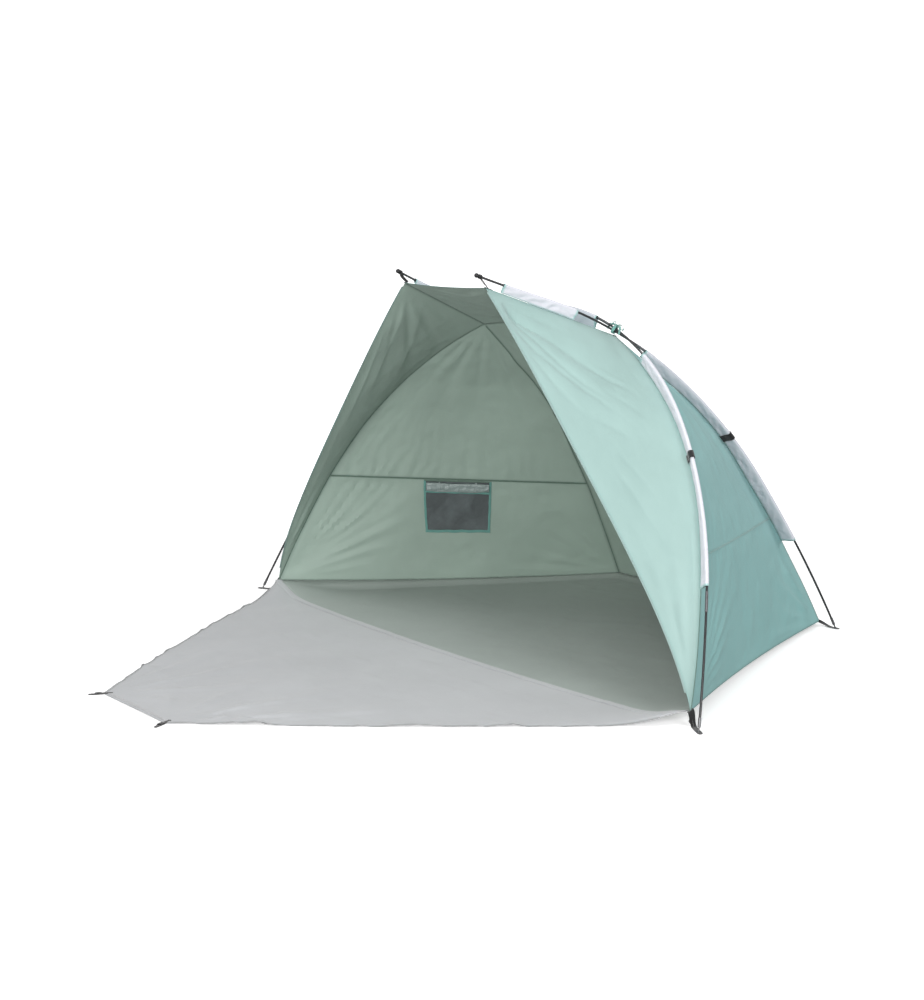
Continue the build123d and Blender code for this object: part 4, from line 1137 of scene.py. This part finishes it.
# hem along the door's free end
e = door_P[-2].copy()
e = Curve(e)(np.linspace(0.01, 0.99, 120))
e[:, 2] += 1.0
ribbon("hem_door_end", e, V(0, 1, 0), 12.0, 1.2, M_HEM, body="door")

# --------------------------------------------------------------------------- webbing at the corners
foot_f, tf = arch.at(1934.0)
foot_r, tr = longp.at(2004.0)
eye_f = foot_f + tf * ((foot_f[2] - 2.0) / -tf[2])
eye_r = foot_r + tr * ((foot_r[2] - 2.0) / -tr[2])


def corner_web(name, corner, eye, side, w0, w1, tail, rise, node):
    mir = MIR if side < 0 else V(1, 1, 1)
    d = eye - corner
    d[2] = 0
    L = np.linalg.norm(d)
    d /= L
    c = Curve([corner + d * -6 + V(0, 0, rise + 3), corner + d * 8 + V(0, 0, rise * 0.45), corner + d * (L * 0.36) + V(0, 0, -corner[2] + 9),
               corner + d * (L * 0.66) + V(0, 0, -corner[2] + 3.0), corner + d * L + V(0, 0, -corner[2] + 2.0), corner + d * (L + tail) + V(0, 0, -corner[2] + 1.9)])
    ts = np.linspace(0, 1, 60)
    P = c(ts)
    P[:, 2] = np.maximum(P[:, 2], 1.9)
    acr = V(-d[1], d[0], 0)
    tw = sstep(0.05, 0.5, ts)[:, None]
    wd = acr * (0.35 + 0.65 * tw) + V(0, 0, 0.25) * (1 - tw)
    ws = w0 + (w1 - w0) * sstep(0, 0.42, ts)
    ws = ws * (1 - 0.35 * sstep(0.90, 1.0, ts))
    o = ribbon(name, P * mir, wd * mir, w1, 2.0, M_WEB, widths=ws, cross=9)
    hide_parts(node)
    return o


for side in (1, -1):
    sfx = "_right" if side > 0 else "_left"
    corner_web("tab_front" + sfx, FRONT.copy(), eye_f.copy(), side, 22, 17.5, 21, 0, "front_corner_tab" + sfx)
    corner_web("tab_rear" + sfx, REAR.copy(), eye_r.copy(), side, 12, 16.5, 15, 0, "rear_corner_tab" + sfx)
    # gusset: the doubled webbing triangle that hangs under the front corner
    mir = MIR if side < 0 else V(1, 1, 1)
    d = eye_f - FRONT
    d[2] = 0
    d /= np.linalg.norm(d)
    g = []
    for k in np.linspace(0, 1, 16):
        g.append(FRONT + d * (-3 + 40 * k) + V(0, 0, 0))
    top = np.array([FRONT[2] + 2 - 34 * k ** 0.8 for k in np.linspace(0, 1, 16)])
    bot = np.array([3.0 for k in np.linspace(0, 1, 16)])
    G = np.array(g)
    G[:, 2] = (top + bot) / 2
    o = ribbon("gusset_front" + sfx, G * mir, V(0, 0, 1), 20, 2.2, M_WEB, widths=top - bot, cross=7)

# straps from the ball caps to the awning corners
cap_p, cap_t = longp.at(3.0)
for side in (1, -1):
    mir = MIR if side < 0 else V(1, 1, 1)
    sfx = "_right" if side > 0 else "_left"
    neck = cap_p + cap_t * 8
    down = TIP + V(0, 0, 2) - neck
    dl = np.linalg.norm(down)
    dd = down / dl
    sidev = np.cross(dd, cap_t)
    sidev /= np.linalg.norm(sidev)
    up2 = np.cross(cap_t, sidev)
    up2 /= np.linalg.norm(up2)
    loop = []
    for k in np.linspace(0, 1, 40):
        a = 2 * math.pi * k
        loop.append(neck + (up2 * math.cos(a) + sidev * math.sin(a)) * 7.2)
    o1 = ribbon("strap_tip_loop" + sfx, np.array(loop) * mir, cap_t * mir, 9.0, 1.5, M_WEB, closed=True)
    for i, off in enumerate((2.2, -1.2)):
        c = Curve([neck + dd * 6.6 + cap_t * off, neck + dd * (dl * 0.5) + cap_t * off * 1.9 + sidev * 0.6, TIP + V(-2, 8, 1.5) + cap_t * off * 0.4])
        o = ribbon("strap_tip_%d%s" % (i, sfx), c(np.linspace(0, 1, 30)) * mir, sidev * mir, 11.0, 1.5, M_WEB, widths=np.linspace(10.5, 13.5, 30))
    # doubled and stitched patch where the strap meets the awning corner
    cc = Curve([TIP + V(-1, -1, 1.2), TIP + V(0, 12, -3.4), TIP + V(2, 26, -8.6)])
    o2 = ribbon("strap_tip_patch" + sfx, cc(np.linspace(0, 1, 20)) * mir, V(1, 0, -0.1) * mir, 13.0, 2.0, M_WEB, widths=np.linspace(15, 9, 20))
    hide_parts("tip_strap" + sfx)

# ribbon bows that tie the poles together over the ridge corners
sx = longp.nearest(RIDGE + V(5, 0, 20), 400, 620)
best = None
for s_ in np.linspace(420, 600, 121):
    q = longp.at(s_)[0]
    k = arch.nearest(q, 300, 500, 160)
    dd_ = np.linalg.norm(arch.at(k)[0] - q)
    if best is None or dd_ < best[0]:
        best = (dd_, s_, k)
cl, tl_ = longp.at(best[1])
ca_, ta_ = arch.at(best[2])
mid = (cl + ca_) / 2
bis = (tl_ + ta_) / np.linalg.norm(tl_ + ta_)
upv = V(0.1, 0.35, 0.93)
upv = upv - bis * (upv @ bis)
upv /= np.linalg.norm(upv)
sdv = np.cross(bis, upv)
for side in (1, -1):
    mir = MIR if side < 0 else V(1, 1, 1)
    sfx = "_right" if side > 0 else "_left"
    first = None
    for i, (off, tilt) in enumerate(((-2.0, 0.55), (2.5, -0.5), (0.5, 0.0))):
        loop = []
        for k in np.linspace(0, 1, 48):
            a = 2 * math.pi * k
            rad = 12.6 + 0.9 * math.sin(2 * a + i)
            loop.append(mid + (upv * math.cos(a) + sdv * math.sin(a)) * (rad + i * 0.9) + bis * (off + tilt * 8 * math.sin(a)))
        o = ribbon("tie_wrap_%d%s" % (i, sfx), np.array(loop) * mir, bis * mir, 7.0, 0.8, M_RIB, closed=True)
        first = first or o
    kn = mid + upv * 15.5
    for i, (sx_, droop, ln) in enumerate(((1, 6, 30), (-1, 9, 26))):
        d1 = (bis * sx_ + sdv * 0.45 * sx_)
        c = Curve([kn, kn + d1 * ln * 0.5 + upv * 9, kn + d1 * ln + upv * (5 - droop * 0.3), kn + d1 * ln * 0.95 - upv * 4, kn + d1 * ln * 0.45 - upv * 2.5, kn - upv * 0.5])
        ribbon("tie_bow_%d%s" % (i, sfx), c(np.linspace(0, 1, 60)) * mir, (sdv * 0.9 + upv * 0.2 - bis * 0.3 * sx_) * mir, 8.0, 0.7, M_RIB)
        c = Curve([kn, kn + d1 * 14 + upv * 2 + sdv * 6 * sx_, kn + d1 * 24 - upv * 10 + sdv * 12 * sx_, kn + d1 * 30 - upv * 24 + sdv * 15 * sx_])
        ribbon("tie_tail_%d%s" % (i, sfx), c(np.linspace(0, 1, 40)) * mir, (bis * 0.8 + sdv * 0.5) * mir, 8.0, 0.7, M_RIB)
    c = Curve([mid - upv * 13.5, (mid - upv * 13.5 + RIDGE + V(0, 0, 2)) / 2 + bis * 1.5, RIDGE + V(0, 2, 0.5)])
    ribbon("tie_anchor" + sfx, c(np.linspace(0, 1, 16)) * mir, bis * mir, 8.0, 1.0, M_RIB)
    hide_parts("ridge_tie" + sfx)

# --------------------------------------------------------------------------- window in the left wall
def wpt(u, v):
    """Point on the inner face of the left wall's lower panel and the inward normal there."""
    u, v = np.asarray(u, float), np.asarray(v, float)
    v = lean(u, v)
    p = wall_point(u * cross_seam(v), v)
    e = 1e-3
    du = wall_point((u + e) * cross_seam(v), v) - p
    dv = wall_point(u * cross_seam(v + e), v + e) - p
    nrm = np.cross(du, dv)
    nrm /= np.linalg.norm(nrm, axis=-1, keepdims=True)
    nrm = nrm * np.sign((nrm @ V(-0.8, -0.4, -0.4)))[..., None]
    return p * MIR, nrm * MIR



def side_line(u0, v0, u1, v1, n=60, lift=1.2):
    t = np.linspace(0, 1, n)
    p, nr = wpt(u0 + (u1 - u0) * t, v0 + (v1 - v0) * t)
    return p + nr * lift, nr


def bind(name, u0, v0, u1, v1, width, lift, wav=0.0, mat=None, thick=1.4):
    p, nr = side_line(u0, v0, u1, v1, lift=lift)
    t = np.linspace(0, 1, len(p))
    tang = np.gradient(p, axis=0)
    w = np.cross(nr, tang)
    w /= np.linalg.norm(w, axis=1, keepdims=True)
    p = p + w * (wav * np.sin(t * 23 + 1.0))[:, None] + nr * (abs(wav) * 0.8 * (1 + np.sin(t * 31)))[:, None]
    return ribbon(name, p, w, width, thick, mat or M_RIB, crown=0.35, cross=7, stitch=0.2)


b_bot = bind("window_bind_bottom", 0.476, 0.380, 0.476, 0.618, 11.0, 3.1, 0.9)
b_l = bind("window_bind_front", 0.465, 0.3845, 0.985, 0.3845, 9.0, 3.0, 0.3)
b_r = bind("window_bind_rear", 0.465, 0.6135, 0.985, 0.6135, 9.5, 3.0, 0.3)
b_t = bind("window_bind_top", 0.982, 0.382, 0.982, 0.616, 6.0, 2.9, 0.2, mat=M_SEAM_IN)
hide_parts("window_binding")
# narrow turned edge round the opening, on the outside
for nm, a in (("bottom", (WIN_U0 - 0.004, WIN_V0 - 0.002, WIN_U0 - 0.004, WIN_V1 + 0.002)), ("top", (WIN_U1 + 0.004, WIN_V0 - 0.002, WIN_U1 + 0.004, WIN_V1 + 0.002)),
              ("front", (WIN_U0 - 0.01, WIN_V0 - 0.001, WIN_U1 + 0.01, WIN_V0 - 0.001)), ("rear", (WIN_U0 - 0.01, WIN_V1 + 0.001, WIN_U1 + 0.01, WIN_V1 + 0.001))):
    bind("window_edge_" + nm, *a, 6.0, -0.8, 0.0, mat=M_SEAM_OUT, thick=1.0)

# mesh pane, puckered along its sewn edges
us = np.linspace(0.478, 0.975, 60)
vs = np.linspace(0.3855, 0.6125, 84)
Ug, Vg = np.meshgrid(us, vs, indexing="ij")
p, nr = wpt(Ug, Vg)
eu = np.minimum(Ug - us[0], us[-1] - Ug) / (us[-1] - us[0])
ev = np.minimum(Vg - vs[0], vs[-1] - Vg) / (vs[-1] - vs[0])
ed = np.minimum(eu, ev)
hgt = -2.6 * sstep(0, 0.2, ed) + 1.8 * nz(p, 70.0, 151.0) * sstep(0.02, 0.12, ed)
hgt += 1.0 * np.sin(Vg * 130 + 2 * nz(p, 80.0, 153.0)) * np.exp(-eu * 26) * sstep(0.015, 0.06, ed)
hgt += 1.0 * np.sin(Ug * 70 + 2 * nz(p, 80.0, 155.0)) * np.exp(-ev * 22) * sstep(0.015, 0.06, ed)
Pm = p + nr * (hgt + 1.9)[..., None]
wb = Builder()
wb.grid(Pm, arc_uv(Pm), np.zeros_like(Ug), V(0.8, -0.4, -0.4))
pane = wb.build("window_pane", [M_MESH], sharp=1.2)
solidify(pane, 0.0005, -1.0, 0, 0)
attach(pane, "root")
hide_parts("window_mesh")

# the flap is folded up above the mesh: a slack, crumpled roll of thin film
rows, nseg, nk = [], 110, 44
for i, t in enumerate(np.linspace(0, 1, nseg)):
    v = 0.3895 + (0.6085 - 0.3895) * t
    p, nr = wpt(0.924, v)
    pu, _ = wpt(0.96, v)
    upd = pu - p
    upd /= np.linalg.norm(upd)
    row = []
    for k in range(nk):
        a = 2 * math.pi * k / nk
        rx = 5.6 * (0.92 + 0.14 * math.sin(9 * t + 1.2))
        ry = 20.0 * (1 - 0.10 * abs(2 * t - 1) ** 3) * (0.95 + 0.06 * math.sin(11 * t))
        sag = -3.0 * math.sin(math.pi * t)
        row.append(p + nr * (9.5 + rx * math.copysign(abs(math.cos(a)) ** 0.8, math.cos(a))) + upd * (ry * math.copysign(abs(math.sin(a)) ** 0.85, math.sin(a)) + sag))
    rows.append(row)
R = np.array(rows)
nrm_f = wpt(0.92, 0.5)[1]
tt = np.linspace(0, 1, nseg)[:, None]
vv = (R @ ((wpt(0.97, 0.5)[0] - wpt(0.87, 0.5)[0]) / np.linalg.norm(wpt(0.97, 0.5)[0] - wpt(0.87, 0.5)[0])))
vv = vv - vv.mean(axis=1, keepdims=True)
front = np.clip((R - R.mean(axis=1, keepdims=True)) @ nrm_f / 5.0, 0, 1)
# long diagonal folds that sweep down from the upper front corner, and fine crumples
swp = np.abs(np.sin((vv + 34.0 * (1 - tt) ** 1.4 - 9.0) / 9.5 + 1.3 * nz(R, 60.0, 163.0))) ** 0.7
dsp = 3.2 * (swp - 0.6) + 2.2 * nz(R, 26.0, 161.0, 4) + 1.2 * nz(R, 10.0, 167.0, 3)
R = R + nrm_f * (dsp * front)[..., None]
R = np.concatenate([R, R[:, :1]], axis=1)
fbuild = Builder()
fbuild.grid(R, arc_uv(R), np.zeros(R.shape[:2]), V(0.8, -0.4, -0.4))
flap = fbuild.build("flap_roll", [M_FLAP], sharp=1.2)
bm = bmesh.new()
bm.from_mesh(flap.data)
bmesh.ops.holes_fill(bm, edges=[e for e in bm.edges if e.is_boundary], sides=0)
bmesh.ops.recalc_face_normals(bm, faces=bm.faces)
bm.to_mesh(flap.data)
bm.free()
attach(flap, "root")
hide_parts("window_flap_roll")
# bound lower edge of the flap, showing under the roll
bind("flap_edge", 0.872, 0.386, 0.868, 0.612, 8.5, 6.0, 0.7, thick=2.0)
for i, v in enumerate((0.435, 0.563)):
    p, nr = wpt(0.924, v)
    pu, _ = wpt(0.96, v)
    upd = pu - p
    upd /= np.linalg.norm(upd)
    acr = np.cross(nr, upd)
    c = [p + nr * (9.0 + 8.8 * math.copysign(abs(math.cos(a)) ** 0.8, math.cos(a))) + upd * (21.5 * math.sin(a)) for a in np.linspace(0, 2 * math.pi, 48)]
    ribbon("flap_tie_%d" % i, np.array(c), acr, 5.0, 0.8, M_FLAP, closed=True)
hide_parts("window_flap_ties")

# --------------------------------------------------------------------------- peg straps on the door's free corners
for side in (1, -1):
    mir = MIR if side < 0 else V(1, 1, 1)
    sfx = "_right" if side > 0 else "_left"
    a0 = V(DOOR_TIP_X - 14, -DOOR_LEN + 26, 3.2)
    c = Curve([a0, V(DOOR_TIP_X + 1, -DOOR_LEN + 2, 3.0), V(DOOR_TIP_X + 10, -DOOR_LEN - 18, 2.2), V(DOOR_TIP_X + 18, -DOOR_LEN - 34, 1.6), V(DOOR_TIP_X + 22.5, -1304.5, 1.5)])
    ts = np.linspace(0, 1, 50)
    ws = 13.5 - 3.0 * sstep(0.7, 1.0, ts)
    d = V(0.9, 0.43, 0)
    o = ribbon("strap_door" + sfx, c(ts) * mir, d * mir, 13.0, 2.2, M_WEB, widths=ws, body="door")
    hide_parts("door_peg_strap" + sfx)
    c2 = Curve([V(DOOR_TIP_X + 3, -DOOR_LEN - 5, 4.0), V(DOOR_TIP_X + 8, -DOOR_LEN - 15, 4.6), V(DOOR_TIP_X + 13, -DOOR_LEN - 24, 3.6)])
    ribbon("strap_door_keeper" + sfx, c2(np.linspace(0, 1, 20)) * mir, d * mir, 17.0, 2.6, M_WEB, crown=0.5, body="door")

# --------------------------------------------------------------------------- stage: pale cove, soft studio light
def bowl():
    prof = [(0.0, 0.0), (2.5, 0.0), (5.0, 0.0), (8.5, 0.0)]
    for k in range(1, 15):
        a = math.pi / 2 * k / 14
        prof.append((8.5 + 5.0 * math.sin(a), 5.0 - 5.0 * math.cos(a)))
    prof += [(13.5, 9.0), (13.5, 14.0)]
    seg = 72
    for nm, rows, glow in (("studio_floor", prof[:6], 0.30), ("studio_wall", prof[5:], 1.0)):
        verts, faces = [], []
        for r, z in rows:
            for k in range(seg):
                a = 2 * math.pi * k / seg
                verts.append((r * math.cos(a), r * math.sin(a), z - 0.0004))
        for i in range(len(rows) - 1):
            for k in range(seg):
                faces.append((i * seg + k, i * seg + (k + 1) % seg, (i + 1) * seg + (k + 1) % seg, (i + 1) * seg + k))
        o = new_object(nm, verts, faces, [])
        n = Nodes(nm + "_paper")
        tc = n.add("ShaderNodeTexCoord")
        ns = n.add("ShaderNodeTexNoise", Scale=1.2, Detail=2.0)
        n.link(tc.outputs["Object"], ns.inputs["Vector"])
        n.link(n.mix(ns.outputs["Fac"], (0.93, 0.93, 0.93, 1), (0.96, 0.96, 0.96, 1)), n.bsdf.inputs["Base Color"])
        n.bsdf.inputs["Roughness"].default_value = 0.9
        n.bsdf.inputs["Specular IOR Level"].default_value = 0.1
        n.bsdf.inputs["Emission Color"].default_value = (1.0, 1.0, 1.0, 1)
        if glow < 1.0:
            # the paper stays toned under the shelter and burns out to white further away
            far = n.add("ShaderNodeVectorMath")
            far.operation = "LENGTH"
            n.link(tc.outputs["Object"], far.inputs[0])
            fade = n.add("ShaderNodeMapRange")
            fade.interpolation_type = "SMOOTHSTEP"
            for key, val in (("From Min", 1.9), ("From Max", 3.6), ("To Min", glow), ("To Max", 1.0)):
                fade.inputs[key].default_value = val
            n.link(far.outputs["Value"], fade.inputs["Value"])
            n.link(fade.outputs["Result"], n.bsdf.inputs["Emission Strength"])
        else:
            n.bsdf.inputs["Emission Strength"].default_value = glow
        o.data.materials.append(n.mat)
        # the paper is seen, but it doesn't throw its light back on the shelter
        o.visible_diffuse = o.visible_glossy = o.visible_transmission = False
        o.visible_shadow = False


bowl()
world = bpy.data.worlds.new("studio")
scene.world = world
world.use_nodes = True
bg = world.node_tree.nodes.get("Background")
bg.inputs[0].default_value = (1.0, 1.0, 1.0, 1)
bg.inputs[1].default_value = 0.34


def area(name, loc, target, size, power, col=(1, 1, 1)):
    l = bpy.data.lights.new(name, "AREA")
    l.shape, l.size, l.size_y = "RECTANGLE", size[0], size[1]
    l.energy, l.color = power, col
    o = bpy.data.objects.new(name, l)
    scene.collection.objects.link(o)
    o.location = loc
    o.rotation_mode = "QUATERNION"
    o.rotation_quaternion = (Vector(target) - Vector(loc)).to_track_quat("-Z", "Y")
    return o


area("key", (4.03, -4.64, 2.04), (0.0, 0.2, 0.45), (2.4, 2.4), 280.0, (1.0, 0.99, 0.975))
area("top", (-0.5, -1.9, 6.6), (-0.2, -0.3, 0.0), (3.6, 3.6), 205.0)
area("side", (6.2, -0.6, 2.0), (0.9, 0.9, 0.65), (2.0, 2.0), 135.0, (0.98, 0.99, 1.0))
area("rim", (2.65, 6.2, 3.2), (0.2, 0.3, 0.5), (2.6, 2.6), 120.0, (0.97, 0.98, 1.0))
